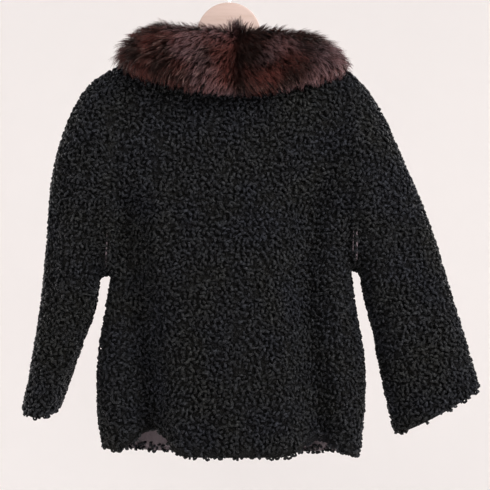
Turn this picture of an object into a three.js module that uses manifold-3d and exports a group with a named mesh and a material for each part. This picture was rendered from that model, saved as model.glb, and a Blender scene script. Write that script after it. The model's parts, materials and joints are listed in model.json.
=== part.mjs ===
// A short jacket of curled black pile cloth with a rolled fur collar, hanging buttoned on a
// flat wooden hanger. Millimetres, +Z up; the garment's front faces -Y and +X is its left.
// The origin is the point where the hanger's hook bears on a rod.
import * as THREE from "three";
import { mergeVertices } from "three/addons/utils/BufferGeometryUtils.js";
import Module from "manifold-3d";

const wasm = await Module();
wasm.setup();

// Cloth walls and the gaps between the pieces
const CLOTH = 6; // backing and curled pile together
const LINING = 1;
const SEAM = 0.3;
const CLEAR = 0.5; // round a solid that is trimmed to the cloth
const TRIM_TOLERANCE = 0.06;
const NECK_KNOT = 7; // radius kept free where a shoulder seam meets the neckline
const LINING_RISE = 0.3; // how far the lining ends over the hem, as a share of a row

// Rows and columns of a panel's grid
const LOW_ROWS = 9; // hem to underarm
const HIGH_ROWS = 12; // underarm to shoulder
const ROWS = LOW_ROWS + HIGH_ROWS;
const BACK_COLUMNS = 19; // in each half of the back
const FRONT_COLUMNS = 14; // each front also runs one column past the middle line
const NECK_SHARE = 0.45; // where the neck ends and the shoulder begins, across a half

// The rounding of a body section at its sides, and of an armhole at its ends
const SIDE_ROUNDING = 2.5;
const HOLE_ROUNDING = 2.2;

const BACK = 1; // towards +Y
const FRONT = -1;
const MIDDLE = -3; // x of the body's middle line below the arms
const UNDERARM_Z = -466; // on the middle line

// Depth of the body from the hanger's plane, on its middle line
const DEPTHS = [
  { z: -770, back: 92, front: 102 },
  { z: -650, back: 92, front: 100 },
  { z: -560, back: 88, front: 96 },
  { z: -466, back: 82, front: 90 },
  { z: -350, back: 72, front: 82 },
  { z: -250, back: 60, front: 70 },
  { z: -200, back: 52, front: 60 },
  { z: -120, back: 40, front: 44 },
];

// Half width of the body from its middle line, on each side
const WIDTHS = [
  { z: -770, left: 190, right: 190 },
  { z: -735, left: 194, right: 193 },
  { z: -650, left: 201, right: 200 },
  { z: -590, left: 199, right: 198 },
  { z: -530, left: 190, right: 188 },
  { z: -470, left: 181, right: 180 },
];

// The armhole runs from the tip of the shoulder to the underarm
const ARMHOLES = {
  left: { tip: { x: 140, z: -153 }, under: { x: 178, z: -470 }, bow: 6, back: 56, front: 58 },
  right: { tip: { x: -160, z: -163 }, under: { x: -183, z: -462 }, bow: 8, back: 56, front: 58 },
};

// The neckline: its middle at the back and front, and the two ends of the shoulders
const NECK = {
  back: { x: -11, y: 42, z: -150 },
  front: { x: -11, y: 66, z: -214 },
  left: { x: 75, z: -127 },
  right: { x: -97, z: -138 },
};

// Height of the hem across each half, from the middle line to the side seam
const HEMS = {
  back: { middle: -737, left: -728, right: -746 },
  front: { middle: -752, left: -731, right: -747 },
};

// Troughs of the big folds, from the top down: place, depth, width towards the middle and
// away from it, and how far the hem is lifted where the trough reaches it
const FOLDS = [
  {
    face: BACK,
    lift: 33,
    path: [
      { z: -290, x: 163, deep: 0, inner: 26, outer: 22 },
      { z: -360, x: 152, deep: 12, inner: 27, outer: 26 },
      { z: -450, x: 138, deep: 26, inner: 27, outer: 30 },
      { z: -580, x: 121, deep: 38, inner: 24, outer: 34 },
      { z: -700, x: 108, deep: 45, inner: 22, outer: 36 },
    ],
  },
  {
    face: BACK,
    lift: 18,
    path: [
      { z: -225, x: -166, deep: 0, inner: 24, outer: 22 },
      { z: -300, x: -146, deep: 13, inner: 28, outer: 24 },
      { z: -390, x: -122, deep: 27, inner: 30, outer: 26 },
      { z: -480, x: -112, deep: 35, inner: 28, outer: 28 },
      { z: -580, x: -120, deep: 38, inner: 27, outer: 30 },
      { z: -700, x: -129, deep: 41, inner: 26, outer: 30 },
    ],
  },
  {
    face: FRONT,
    lift: 1,
    path: [
      { z: -300, x: 120, deep: 0, inner: 26, outer: 26 },
      { z: -440, x: 112, deep: 10, inner: 30, outer: 30 },
      { z: -600, x: 106, deep: 20, inner: 32, outer: 32 },
      { z: -745, x: 104, deep: 26, inner: 34, outer: 34 },
    ],
  },
  {
    face: FRONT,
    lift: 1,
    path: [
      { z: -280, x: -128, deep: 0, inner: 26, outer: 26 },
      { z: -420, x: -118, deep: 11, inner: 30, outer: 30 },
      { z: -600, x: -112, deep: 22, inner: 32, outer: 32 },
      { z: -745, x: -108, deep: 28, inner: 34, outer: 34 },
    ],
  },
];

// Sleeve sections below the armhole: the outer and inner point in the hanger's plane, the
// centre's depth, half the depth, how much lower the section's back is, and a trough on its
// back
const SLEEVES = {
  left: [
    { outer: [159, -156], inner: [194, -475], y: 0, deep: 61, drop: 0, trough: 0 },
    { outer: [193, -172], inner: [197, -489], y: -1, deep: 61, drop: 0, trough: 0 },
    { outer: [219, -197], inner: [199, -502], y: -2, deep: 62, drop: 1, trough: 2 },
    { outer: [241, -238], inner: [201, -516], y: -4, deep: 63, drop: 2, trough: 6 },
    { outer: [258, -287], inner: [205, -531], y: -7, deep: 65, drop: 3, trough: 12 },
    { outer: [268, -337], inner: [211, -546], y: -11, deep: 67, drop: 4, trough: 17 },
    { outer: [272, -385], inner: [218, -562], y: -16, deep: 69, drop: 6, trough: 19 },
    { outer: [276, -433], inner: [224, -579], y: -21, deep: 71, drop: 7, trough: 18 },
    { outer: [281, -479], inner: [231, -597], y: -26, deep: 72, drop: 8, trough: 14 },
    { outer: [287, -526], inner: [238, -614], y: -31, deep: 73, drop: 9, trough: 9 },
    { outer: [295, -571], inner: [244, -632], y: -35, deep: 74, drop: 10, trough: 5 },
    { outer: [304, -620], inner: [250, -648], y: -39, deep: 75, drop: 11, trough: 3 },
    { outer: [315, -670], inner: [260, -674], y: -42, deep: 75, drop: 12, trough: 2 },
  ],
  right: [
    { outer: [-178, -166], inner: [-195, -469], y: 0, deep: 60, drop: 0, trough: 0 },
    { outer: [-196, -181], inner: [-198, -484], y: 0, deep: 59, drop: 0, trough: 0 },
    { outer: [-215, -206], inner: [-201, -498], y: 1, deep: 58, drop: 0, trough: 0 },
    { outer: [-236, -243], inner: [-204, -513], y: 1, deep: 57, drop: 0, trough: 2 },
    { outer: [-257, -292], inner: [-208, -528], y: 2, deep: 56, drop: 0, trough: 4 },
    { outer: [-279, -342], inner: [-212, -545], y: 2, deep: 54, drop: 1, trough: 5 },
    { outer: [-297, -388], inner: [-217, -565], y: 3, deep: 52, drop: 1, trough: 5 },
    { outer: [-313, -435], inner: [-220, -586], y: 3, deep: 50, drop: 1, trough: 4 },
    { outer: [-327, -482], inner: [-225, -610], y: 4, deep: 48, drop: 2, trough: 3 },
    { outer: [-341, -528], inner: [-229, -633], y: 4, deep: 46, drop: 2, trough: 3 },
    { outer: [-354, -571], inner: [-235, -658], y: 5, deep: 45, drop: 3, trough: 2 },
    { outer: [-365, -607], inner: [-240, -681], y: 5, deep: 44, drop: 3, trough: 2 },
    { outer: [-375, -639], inner: [-247, -707], y: 5, deep: 43, drop: 3, trough: 2 },
  ],
};
const SLEEVE_ROUNDING = 2.2;
const TROUGH_AT = Math.PI * 0.36; // round the section from its outer point to its back
const TROUGH_WIDE = 0.42; // radians

// The fur collar's section along the neckline, from the middle of the back to the front
// edge: how high it stands over the neckline, how far out it bulges and how far it falls
const COLLAR = [
  { share: 0, rise: 40, reach: 56, fall: -60 },
  { share: 0.12, rise: 43, reach: 59, fall: -57 },
  { share: 0.26, rise: 41, reach: 69, fall: -47 },
  { share: 0.4, rise: 36, reach: 86, fall: -39 },
  { share: 0.5, rise: 35, reach: 93, fall: -38 },
  { share: 0.62, rise: 35, reach: 84, fall: -62 },
  { share: 0.76, rise: 32, reach: 66, fall: -84 },
  { share: 0.9, rise: 28, reach: 49, fall: -94 },
  { share: 0.96, rise: 22, reach: 43, fall: -93 },
  { share: 1, rise: 8, reach: 32, fall: -80 },
];
// The section's outline: out as a share of the reach plus millimetres, and up as a share of
// the way from the fall to the rise
const COLLAR_SECTION = [
  { out: 0, plus: -7, up: 0.62 },
  { out: 0, plus: -5, up: 0.84 },
  { out: 0.18, plus: 0, up: 0.99 },
  { out: 0.45, plus: 0, up: 0.94 },
  { out: 0.74, plus: 0, up: 0.7 },
  { out: 0.95, plus: 0, up: 0.42 },
  { out: 1, plus: 0, up: 0.16 },
  { out: 0.84, plus: 0, up: 0 },
  { out: 0.4, plus: 0, up: 0.02 },
  { out: 0, plus: 2, up: 0.3 },
];
const COLLAR_SPREAD = { left: { reach: 1, rise: 1 }, right: { reach: 0.84, rise: 0.8 } };
const COLLAR_STATIONS = 17;
const COLLAR_ROUND = 18; // points round the section

// The hanger: a board with a domed top, drooping arms and a wire hook
const BOARD = 14; // thickness
const BOARD_BEVEL = 1.5;
const DOME_TOP = -62;
const DOME_RADIUS = 48;
const HOOK_WIRE = 2; // radius
const HOOK_RADIUS = 17; // of the hook's middle line
const HANGER_MIDDLE = 1;
const HANGER_ARM = [
  { x: 0, below: -164 },
  { x: 60, below: -170 },
  { x: 110, below: -186 },
  { x: 150, below: -204 },
  { x: 185, below: -224 },
  { x: 200, below: -231 },
];
const HANGER_TOP = [
  { x: 58, top: -144 },
  { x: 100, top: -152.5 },
  { x: 118, top: -152 },
  { x: 150, top: -163 },
  { x: 172, top: -175 },
  { x: 192, top: -190 },
  { x: 205, top: -206 },
  { x: 209, top: -219 },
];

const BUTTON_RADIUS = 15;
const BUTTON_THICK = 6;
const BUTTON_ROWS = [0.3, 0.72, 1.18]; // up the lap, as shares of its height to the underarm

const CLOTH_LOOK = { color: 0x17171b, roughness: 0.9, metalness: 0 };
const LINING_LOOK = { color: 0x6a5358, roughness: 0.45, metalness: 0 };
const FUR_LOOK = { color: 0x43231f, roughness: 0.7, metalness: 0 };
const WOOD_LOOK = { color: 0xe0c4b4, roughness: 0.55, metalness: 0 };
const STEEL_LOOK = { color: 0xd8d8dc, roughness: 0.25, metalness: 1 };
const BUTTON_LOOK = { color: 0x0e0e11, roughness: 0.3, metalness: 0 };

const clamp = THREE.MathUtils.clamp;
const mix = THREE.MathUtils.lerp;
const smooth = (t) => THREE.MathUtils.smoothstep(t, 0, 1);

// The value of one column of a table at a place along its key, eased between the rows
function tableAt(rows, key, at, column) {
  const rising = rows[rows.length - 1][key] > rows[0][key];
  const along = (row) => (rising ? row[key] : -row[key]);
  const place = rising ? at : -at;
  let i = 1;
  while (i < rows.length - 1 && along(rows[i]) < place) i += 1;
  const share = clamp((place - along(rows[i - 1])) / (along(rows[i]) - along(rows[i - 1])), 0, 1);
  const before = rows[Math.max(i - 2, 0)][column];
  const after = rows[Math.min(i + 1, rows.length - 1)][column];
  const [from, to] = [rows[i - 1][column], rows[i][column]];
  const leave = (to - before) / 2;
  const arrive = (after - from) / 2;
  const s2 = share * share;
  const s3 = s2 * share;
  return (
    from * (2 * s3 - 3 * s2 + 1) + leave * (s3 - 2 * s2 + share)
    + to * (3 * s2 - 2 * s3) + arrive * (s3 - s2)
  );
}

const across = (a) => Math.sin((a * Math.PI) / 2) ** (2 / SIDE_ROUNDING);
const inward = (a) => Math.max(Math.cos((a * Math.PI) / 2), 0) ** (2 / SIDE_ROUNDING);

// How deep a fold's trough is at a place of a face, and its share of the full shape there
function troughAt(fold, x, z) {
  const top = fold.path[0];
  if (z > top.z) return { deep: 0, shape: 0 };
  const off = x - tableAt(fold.path, "z", z, "x");
  const towardsMiddle = off * Math.sign(top.x) < 0;
  const wide = tableAt(fold.path, "z", z, towardsMiddle ? "inner" : "outer");
  const shape = Math.exp(-((off / wide) ** 2));
  return { deep: tableAt(fold.path, "z", z, "deep") * shape, shape };
}

// The line along the top of a half panel: the neck first, then the shoulder
function topPoint(face, side, a) {
  const middle = face === BACK ? NECK.back : NECK.front;
  const corner = NECK[side];
  const tip = ARMHOLES[side].tip;
  if (a < NECK_SHARE) {
    const t = a / NECK_SHARE;
    const round = face === BACK ? 2.4 : 1.8;
    return {
      x: mix(middle.x, corner.x, Math.sin((t * Math.PI) / 2)),
      y: middle.y * (1 - t ** round),
      z: mix(middle.z, corner.z, face === BACK ? t ** 2 : 1 - Math.cos((t * Math.PI) / 2) ** 0.9),
    };
  }
  const t = (a - NECK_SHARE) / (1 - NECK_SHARE);
  return { x: mix(corner.x, tip.x, t), y: 0, z: mix(corner.z, tip.z, t ** 1.08) };
}

function hemHeight(face, side, a, x) {
  const hem = face === BACK ? HEMS.back : HEMS.front;
  let z = mix(hem.middle, hem[side], a ** 2.4);
  for (const fold of FOLDS.filter((f) => f.face === face)) {
    z += fold.lift * troughAt(fold, x, z).shape;
  }
  return z;
}

// A point of the body's outer surface. a runs from the middle line to the side seam or
// armhole, and row from the hem to the shoulder.
function bodyPoint(face, side, a, row) {
  const hole = ARMHOLES[side];
  const out = side === "left" ? 1 : -1;
  const depthAt = (z) => tableAt(DEPTHS, "z", z, face === BACK ? "back" : "front");
  const widthAt = (z) => tableAt(WIDTHS, "z", Math.min(z, hole.under.z), side);
  const underZ = mix(UNDERARM_Z, hole.under.z, a ** 2);
  let [x, y, z] = [0, 0, 0];
  if (row <= LOW_ROWS) {
    const foot = hemHeight(face, side, a, MIDDLE + out * widthAt(HEMS.back.middle) * across(a));
    z = mix(foot, underZ, row / LOW_ROWS);
    x = MIDDLE + out * widthAt(z) * across(a);
    y = depthAt(z) * inward(a);
  } else {
    const turn = ((row - LOW_ROWS) / HIGH_ROWS) * Math.PI;
    const lean = -Math.sign(Math.cos(turn)) * Math.abs(Math.cos(turn)) ** (2 / HOLE_ROUNDING);
    const open = Math.sin(turn) ** (2 / HOLE_ROUNDING);
    const up = (1 + lean) / 2;
    const top = topPoint(face, side, a);
    const edge = mix(hole.under.x, hole.tip.x, up) + out * hole.bow * (1 - lean * lean);
    const low = MIDDLE + out * widthAt(hole.under.z) * across(a);
    x = mix(low, top.x, up) + a ** 4 * (edge - mix(hole.under.x, hole.tip.x, up));
    z = mix(underZ, top.z, up);
    const holeDepth = face === BACK ? hole.back : hole.front;
    const full = mix(depthAt(z), holeDepth, a * a * smooth(up / 0.35));
    const widening = mix(smooth(up / 0.5), open, a ** 6);
    const opened = turn < Math.PI / 2 ? mix(inward(a), 1, widening) : 1;
    const closed = turn < Math.PI / 2 ? 1 : mix(top.y / full, 1, open);
    y = full * opened * closed;
  }
  for (const fold of FOLDS.filter((f) => f.face === face)) {
    y -= troughAt(fold, x, z).deep * smooth((1 - a) * 3.5);
  }
  return new THREE.Vector3(x, y * face, z);
}

// The outward normal of the body's surface, held in the plane of a seam along its edges
function bodyNormal(face, side, a, row) {
  const step = 0.02;
  const left = side === "left" ? 1 : -1;
  if (a >= 1 && row < LOW_ROWS) return new THREE.Vector3(left, 0, 0);
  if (a >= 1) {
    const [up, down] = [Math.min(row + 0.4, ROWS), Math.max(row - 0.4, LOW_ROWS)];
    const along = bodyPoint(face, side, 1, up).sub(bodyPoint(face, side, 1, down));
    if (row >= ROWS) along.z = 0;
    if (row <= LOW_ROWS) along.z = 0;
    const normal = new THREE.Vector3(0, along.z * face, -along.y * face).normalize();
    if (row <= LOW_ROWS) return normal.set(left * 0.45, 0, -0.9).normalize();
    return normal;
  }
  const [a0, a1] = [Math.max(a - step, 0), Math.min(a + step, 1)];
  const [r0, r1] = [Math.max(row - 0.3, 0), Math.min(row + 0.3, ROWS)];
  const over = bodyPoint(face, side, a1, row).sub(bodyPoint(face, side, a0, row));
  const up = bodyPoint(face, side, a, r1).sub(bodyPoint(face, side, a, r0));
  const normal = over.cross(up).multiplyScalar(-left * face).normalize();
  if (a === 0) normal.setX(0).normalize();
  if (row >= ROWS && a >= NECK_SHARE) normal.setY(0).normalize();
  return normal;
}

// A closed wall between two grids of points, the second one inside the first. A grid whose
// rows are rings closes on itself, and each quad is split along its more level diagonal.
function wallGeometry(outer, inner, ring, flip) {
  const rows = outer.length;
  const columns = outer[0].length;
  const points = [...outer.flat(), ...inner.flat()];
  const at = (side, j, i) => side * rows * columns + j * columns + (i % columns);
  const index = [];
  const drop = (a, b) => Math.abs(points[a].y - points[b].y);
  const quad = (a, b, c, d, turned) => {
    const two = turned ? [a, b, d, b, c, d] : [a, b, c, a, c, d];
    index.push(...(flip ? two.reverse() : two));
  };
  const last = ring ? columns : columns - 1;
  for (let j = 0; j < rows - 1; j += 1) {
    for (let i = 0; i < last; i += 1) {
      const [a, b, c, d] = [at(0, j, i), at(0, j, i + 1), at(0, j + 1, i + 1), at(0, j + 1, i)];
      const turned = drop(b, d) < drop(a, c);
      quad(a, b, c, d, turned);
      quad(at(1, j, i), at(1, j + 1, i), at(1, j + 1, i + 1), at(1, j, i + 1), turned);
    }
    if (!ring) {
      quad(at(0, j, 0), at(0, j + 1, 0), at(1, j + 1, 0), at(1, j, 0));
      quad(at(0, j, last), at(1, j, last), at(1, j + 1, last), at(0, j + 1, last));
    }
  }
  for (let i = 0; i < last; i += 1) {
    quad(at(0, 0, i), at(1, 0, i), at(1, 0, i + 1), at(0, 0, i + 1));
    const j = rows - 1;
    quad(at(0, j, i), at(0, j, i + 1), at(1, j, i + 1), at(1, j, i));
  }
  return indexed(points, index);
}

function indexed(points, index) {
  const flat = new Float32Array(points.flatMap((p) => [p.x, p.y, p.z]));
  return new THREE.BufferGeometry()
    .setAttribute("position", new THREE.BufferAttribute(flat, 3))
    .setIndex(index);
}

const moved = (grid, normals, by) =>
  grid.map((line, j) => line.map((p, i) => p.clone().addScaledVector(normals[j][i], by)));

// A half panel's grid of surface points and normals, drawn back from its seams by half of a
// gap. A share below zero lies past the middle line, on the other half.
function halfPanel(face, side, shares, gap) {
  const other = side === "left" ? "right" : "left";
  const points = [];
  const normals = [];
  for (let row = 0; row <= ROWS; row += 1) {
    points.push(shares.map((a) => {
      const on = a < 0 ? other : side;
      const out = on === "left" ? 1 : -1;
      const p = bodyPoint(face, on, Math.abs(a), row);
      if (a >= 1 && row <= LOW_ROWS) p.y += (face * gap) / 2;
      if (a >= 1 && row >= LOW_ROWS) p.x -= (out * gap) / 2;
      if (a >= NECK_SHARE && row === ROWS) p.y += (face * gap) / 2;
      return p;
    }));
    normals.push(shares.map((a) => bodyNormal(face, a < 0 ? other : side, Math.abs(a), row)));
  }
  return { points, normals };
}

// Shares of a half's width that lie about evenly along its surface, one of them where the
// neck meets the shoulder
function columnShares(columns) {
  const shares = Array.from({ length: columns + 1 }, (_, i) => (i / columns) ** 1.25);
  const near = (i) => Math.abs(shares[i] - NECK_SHARE);
  const corner = shares.reduce((best, _, i) => (near(i) < near(best) ? i : best), 0);
  shares[corner] = NECK_SHARE;
  return shares;
}

function backPanel(gap) {
  const shares = columnShares(BACK_COLUMNS);
  const left = halfPanel(BACK, "left", shares, gap);
  const right = halfPanel(BACK, "right", shares, gap);
  const join = (l, r) => l.map((line, j) => [...r[j].slice(1).reverse(), ...line]);
  return { points: join(left.points, right.points), normals: join(left.normals, right.normals) };
}

// A front, which runs one column past the middle line: the left one passes under the right
function frontPanel(side, gap) {
  const shares = columnShares(FRONT_COLUMNS);
  const panel = halfPanel(FRONT, side, [-shares[1], ...shares], gap);
  if (side === "left") return panel;
  const lifts = [1, 1, 1, 0.3];
  panel.points.forEach((line, row) => {
    lifts.forEach((lift, i) => {
      line[i].addScaledVector(panel.normals[row][i], lift * (CLOTH + 2 * SEAM));
    });
  });
  return panel;
}

function wallFrom(panel, from, thick, flip) {
  return wallGeometry(
    moved(panel.points, panel.normals, -from),
    moved(panel.points, panel.normals, -from - thick),
    false,
    flip,
  );
}

// The sleeve's outer surface: the armhole's own points, then the sections of its table
function sleevePanel(side, gap) {
  const out = side === "left" ? 1 : -1;
  const ring = [];
  for (let row = ROWS; row > LOW_ROWS; row -= 1) ring.push([BACK, row]);
  for (let row = LOW_ROWS; row < ROWS; row += 1) ring.push([FRONT, row]);
  const seam = ring.map(([face, row]) => {
    const p = bodyPoint(face, side, 1, row);
    p.x += (out * gap) / 2;
    return p;
  });
  const count = ring.length;
  const points = [seam];
  for (const section of SLEEVES[side]) {
    const outer = new THREE.Vector3(section.outer[0], section.y, section.outer[1]);
    const inner = new THREE.Vector3(section.inner[0], section.y, section.inner[1]);
    const centre = outer.clone().add(inner).multiplyScalar(0.5);
    const half = outer.clone().sub(inner).multiplyScalar(0.5);
    points.push(ring.map((_, i) => {
      const turn = (i / count) * 2 * Math.PI;
      const [c, s] = [Math.cos(turn), Math.sin(turn)];
      const along = Math.sign(c) * Math.abs(c) ** (2 / SLEEVE_ROUNDING);
      const deep = Math.sign(s) * Math.abs(s) ** (2 / SLEEVE_ROUNDING);
      const dent = section.trough * Math.exp(-(((turn - TROUGH_AT) / TROUGH_WIDE) ** 2));
      return centre.clone()
        .addScaledVector(half, along)
        .add(new THREE.Vector3(0, section.deep * deep - dent, -section.drop * deep));
    }));
  }
  const normals = points.map((line, j) => line.map((_, i) => {
    if (j === 0 && ring[i][1] === LOW_ROWS) return new THREE.Vector3(0, 0, -1);
    if (j === 0) return bodyNormal(ring[i][0], side, 1, ring[i][1]);
    const below = points[Math.min(j + 1, points.length - 1)][i];
    const above = points[j - 1][i];
    const round = line[(i + 1) % count].clone().sub(line[(i + count - 1) % count]);
    return round.cross(below.clone().sub(above)).multiplyScalar(-out).normalize();
  }));
  return { points, normals };
}

const gridWall = (panel, from, to, ring, flip) =>
  wallGeometry(
    moved(panel.points, panel.normals, -from),
    moved(panel.points, panel.normals, -to),
    ring,
    flip,
  );

// The cloth's walls, and the same walls grown on every side by a clearance
function clothWalls() {
  return {
    back: gridWall(backPanel(SEAM), 0, CLOTH, false, true),
    front_left: gridWall(frontPanel("left", SEAM), 0, CLOTH, false, false),
    front_right: gridWall(frontPanel("right", SEAM), 0, CLOTH, false, true),
    sleeve_left: gridWall(sleevePanel("left", SEAM), 0, CLOTH, true, true),
    sleeve_right: gridWall(sleevePanel("right", SEAM), 0, CLOTH, true, false),
  };
}

function grownWalls() {
  const [from, to, gap] = [-CLEAR, CLOTH + CLEAR, -2];
  const { back, front_left, front_right } = clothWalls();
  const shifts = [[0, 0, 1], [1, 0, 0], [-1, 0, 0], [0, 1, 0], [0, -1, 0]];
  const shifted = [back, front_left, front_right].map(toManifold).flatMap((wall) =>
    shifts.map((shift) => wall.translate(shift.map((t) => t * 0.8 * CLEAR))));
  return [
    ...shifted,
    ...[
      gridWall(overrun(backPanel(gap)), from, to, false, true),
      gridWall(overrun(frontPanel("left", gap)), from, to, false, false),
      gridWall(overrun(frontPanel("right", gap)), from, to, false, true),
      gridWall(sleevePanel("left", gap), from, to, true, true),
      gridWall(sleevePanel("right", gap), from, to, true, false),
    ].map(toManifold),
  ];
}

// Runs a panel on past its neckline and its first column
function overrun(panel) {
  const past = (p, before) => p.clone().add(p.clone().sub(before).setLength(2 * CLEAR));
  const rows = panel.points.map((line) => [past(line[0], line[1]), ...line.slice(1)]);
  const [before, top] = [rows[ROWS - 1], rows[ROWS]];
  rows[ROWS] = top.map((p, i) => past(p, before[i]));
  return { points: rows, normals: panel.normals };
}

function toManifold(geometry) {
  const mesh = new wasm.Mesh({
    numProp: 3,
    vertProperties: new Float32Array(geometry.attributes.position.array),
    triVerts: new Uint32Array(geometry.index.array),
  });
  mesh.merge();
  return new wasm.Manifold(mesh);
}

function toGeometry(solid) {
  const mesh = solid.getMesh();
  return new THREE.BufferGeometry()
    .setAttribute("position", new THREE.BufferAttribute(mesh.vertProperties, 3))
    .setIndex(new THREE.BufferAttribute(mesh.triVerts, 1));
}

// What the others leave of a solid, simplified, as its largest body
function trimmed(solid, others) {
  const bodies = wasm.Manifold.difference([solid, ...others]).simplify(TRIM_TOLERANCE).decompose();
  return toGeometry(bodies.reduce((best, one) => (one.volume() > best.volume() ? one : best)));
}

const welded = (geometry) => {
  geometry.deleteAttribute("normal");
  geometry.deleteAttribute("uv");
  return mergeVertices(geometry, 1e-4);
};

// A closed solid through rings of points, with a fan over each end
function loftGeometry(rings) {
  const count = rings[0].length;
  const centre = (ring) =>
    ring.reduce((sum, p) => sum.add(p), new THREE.Vector3()).divideScalar(count);
  const points = [...rings.flat(), centre(rings[0]), centre(rings[rings.length - 1])];
  const index = [];
  for (let j = 0; j < rings.length - 1; j += 1) {
    for (let i = 0; i < count; i += 1) {
      const [a, b] = [j * count + i, j * count + ((i + 1) % count)];
      index.push(a, b, b + count, a, b + count, a + count);
    }
  }
  const [first, last] = [points.length - 2, points.length - 1];
  const foot = (rings.length - 1) * count;
  for (let i = 0; i < count; i += 1) {
    const next = (i + 1) % count;
    index.push(first, next, i, last, foot + i, foot + next);
  }
  return indexed(points, index);
}

// The solid that half of the body fills, from inside its wall to past the hanger's plane,
// and the same for the head of a sleeve
function bodyFill(face, side) {
  const panel = halfPanel(face, side, [0, 0.1, 0.2, 0.32, NECK_SHARE, 0.62, 0.8, 1], -4);
  const surface = moved(panel.points, panel.normals, -CLOTH / 2).slice(LOW_ROWS + 2);
  const core = surface.map((line) => line.map((p) => new THREE.Vector3(p.x, -6 * face, p.z)));
  return toManifold(wallGeometry(surface, core, false, (face === BACK) === (side === "left")));
}

function sleeveFill(side) {
  const { points, normals } = sleevePanel(side, SEAM);
  const rings = moved(points, normals, -CLOTH / 2).map((ring) => ring.map((p) => [p.x, p.y, p.z]));
  const links = [0, 1, 2].map((j) => wasm.Manifold.hull([...rings[j], ...rings[j + 1]]));
  return wasm.Manifold.union(links);
}

// One half of the collar: its section carried along the neckline, from the middle of the back
function collarRoll(side) {
  const out = side === "left" ? 1 : -1;
  const rings = [];
  for (let k = 0; k <= COLLAR_STATIONS; k += 1) {
    const share = k / COLLAR_STATIONS;
    const onBack = share <= 0.5;
    const neck = topPoint(
      onBack ? BACK : FRONT,
      side,
      (onBack ? share : 1 - share) * 2 * NECK_SHARE * 0.999,
    );
    const at = new THREE.Vector3(neck.x, neck.y * (onBack ? BACK : FRONT), neck.z);
    const turn = share * Math.PI;
    const outward = new THREE.Vector3(out * Math.sin(turn), Math.cos(turn), 0);
    const spread = COLLAR_SPREAD[side];
    const sized = (column) => tableAt(COLLAR, "share", share, column);
    const aside = 1 - Math.abs(share * 2 - 1);
    const rise = sized("rise") * mix(1, spread.rise, aside);
    const reach = sized("reach") * mix(1, spread.reach, aside);
    const fall = sized("fall");
    const corners = COLLAR_SECTION.map((row) =>
      new THREE.Vector3(row.out * reach + row.plus, mix(fall, rise, row.up), 0));
    const outline = new THREE.CatmullRomCurve3(corners, true).getSpacedPoints(COLLAR_ROUND);
    rings.push(outline.slice(0, COLLAR_ROUND).map((q) =>
      at.clone().addScaledVector(outward, q.x).setZ(at.z + q.y)));
  }
  if (side === "left") rings.forEach((ring) => ring.reverse());
  return toManifold(loftGeometry(rings));
}

function hangerBoard(grow) {
  const shape = new THREE.Shape();
  const dome = Array.from({ length: 15 }, (_, i) => {
    const turn = mix(-0.03, 1.03, i / 14) * Math.PI;
    return [DOME_RADIUS * Math.cos(turn), DOME_TOP - DOME_RADIUS + DOME_RADIUS * Math.sin(turn)];
  });
  const rightTop = HANGER_TOP.map((row) => [row.x, row.top]);
  const below = HANGER_ARM.map((row) => [row.x, row.below]);
  const mirrored = (rows) => rows.map(([x, z]) => [-x, z]);
  const outline = [
    ...below,
    ...rightTop.reverse(),
    ...dome,
    ...mirrored(HANGER_TOP.map((row) => [row.x, row.top])),
    ...mirrored([...below].reverse()).slice(0, -1),
  ];
  outline.forEach(([x, z], i) => shape[i ? "lineTo" : "moveTo"](x + HANGER_MIDDLE, z));
  const board = new THREE.ExtrudeGeometry(shape, {
    depth: BOARD - 2 * BOARD_BEVEL,
    bevelThickness: BOARD_BEVEL + grow,
    bevelSize: BOARD_BEVEL,
    bevelOffset: grow - BOARD_BEVEL,
    bevelSegments: 1,
  });
  board.translate(0, 0, BOARD_BEVEL - BOARD / 2);
  board.rotateX(Math.PI / 2);
  return toManifold(welded(board));
}

function hangerHook() {
  const [r, z] = [HOOK_RADIUS, HOOK_WIRE - HOOK_RADIUS];
  const stem = [[0, DOME_TOP + SEAM], [0, -52], [2.5, -42], [10, -31.5]];
  const bow = Array.from({ length: 9 }, (_, i) => {
    const turn = mix(-0.08, 1.24, i / 8) * Math.PI;
    return [r * Math.cos(turn), z + r * Math.sin(turn)];
  });
  const line = new THREE.CatmullRomCurve3(
    [...stem, ...bow].map(([x, up]) => new THREE.Vector3(x, 0, up)),
    false,
    "centripetal",
  ).getSpacedPoints(27);
  const rings = line.map((p, k) => {
    const ahead = line[Math.min(k + 1, line.length - 1)];
    const along = ahead.clone().sub(line[Math.max(k - 1, 0)]).setY(0).normalize();
    if (k === 0) along.set(0, 0, 1);
    const outward = new THREE.Vector3(along.z, 0, -along.x);
    return Array.from({ length: 8 }, (_, i) => {
      const turn = ((i + 0.5) / 8) * 2 * Math.PI;
      return p.clone()
        .addScaledVector(outward, (HOOK_WIRE / Math.cos(Math.PI / 8)) * Math.cos(turn))
        .add(new THREE.Vector3(0, (HOOK_WIRE / Math.cos(Math.PI / 8)) * Math.sin(turn), 0));
    });
  });
  return loftGeometry(rings);
}

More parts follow.
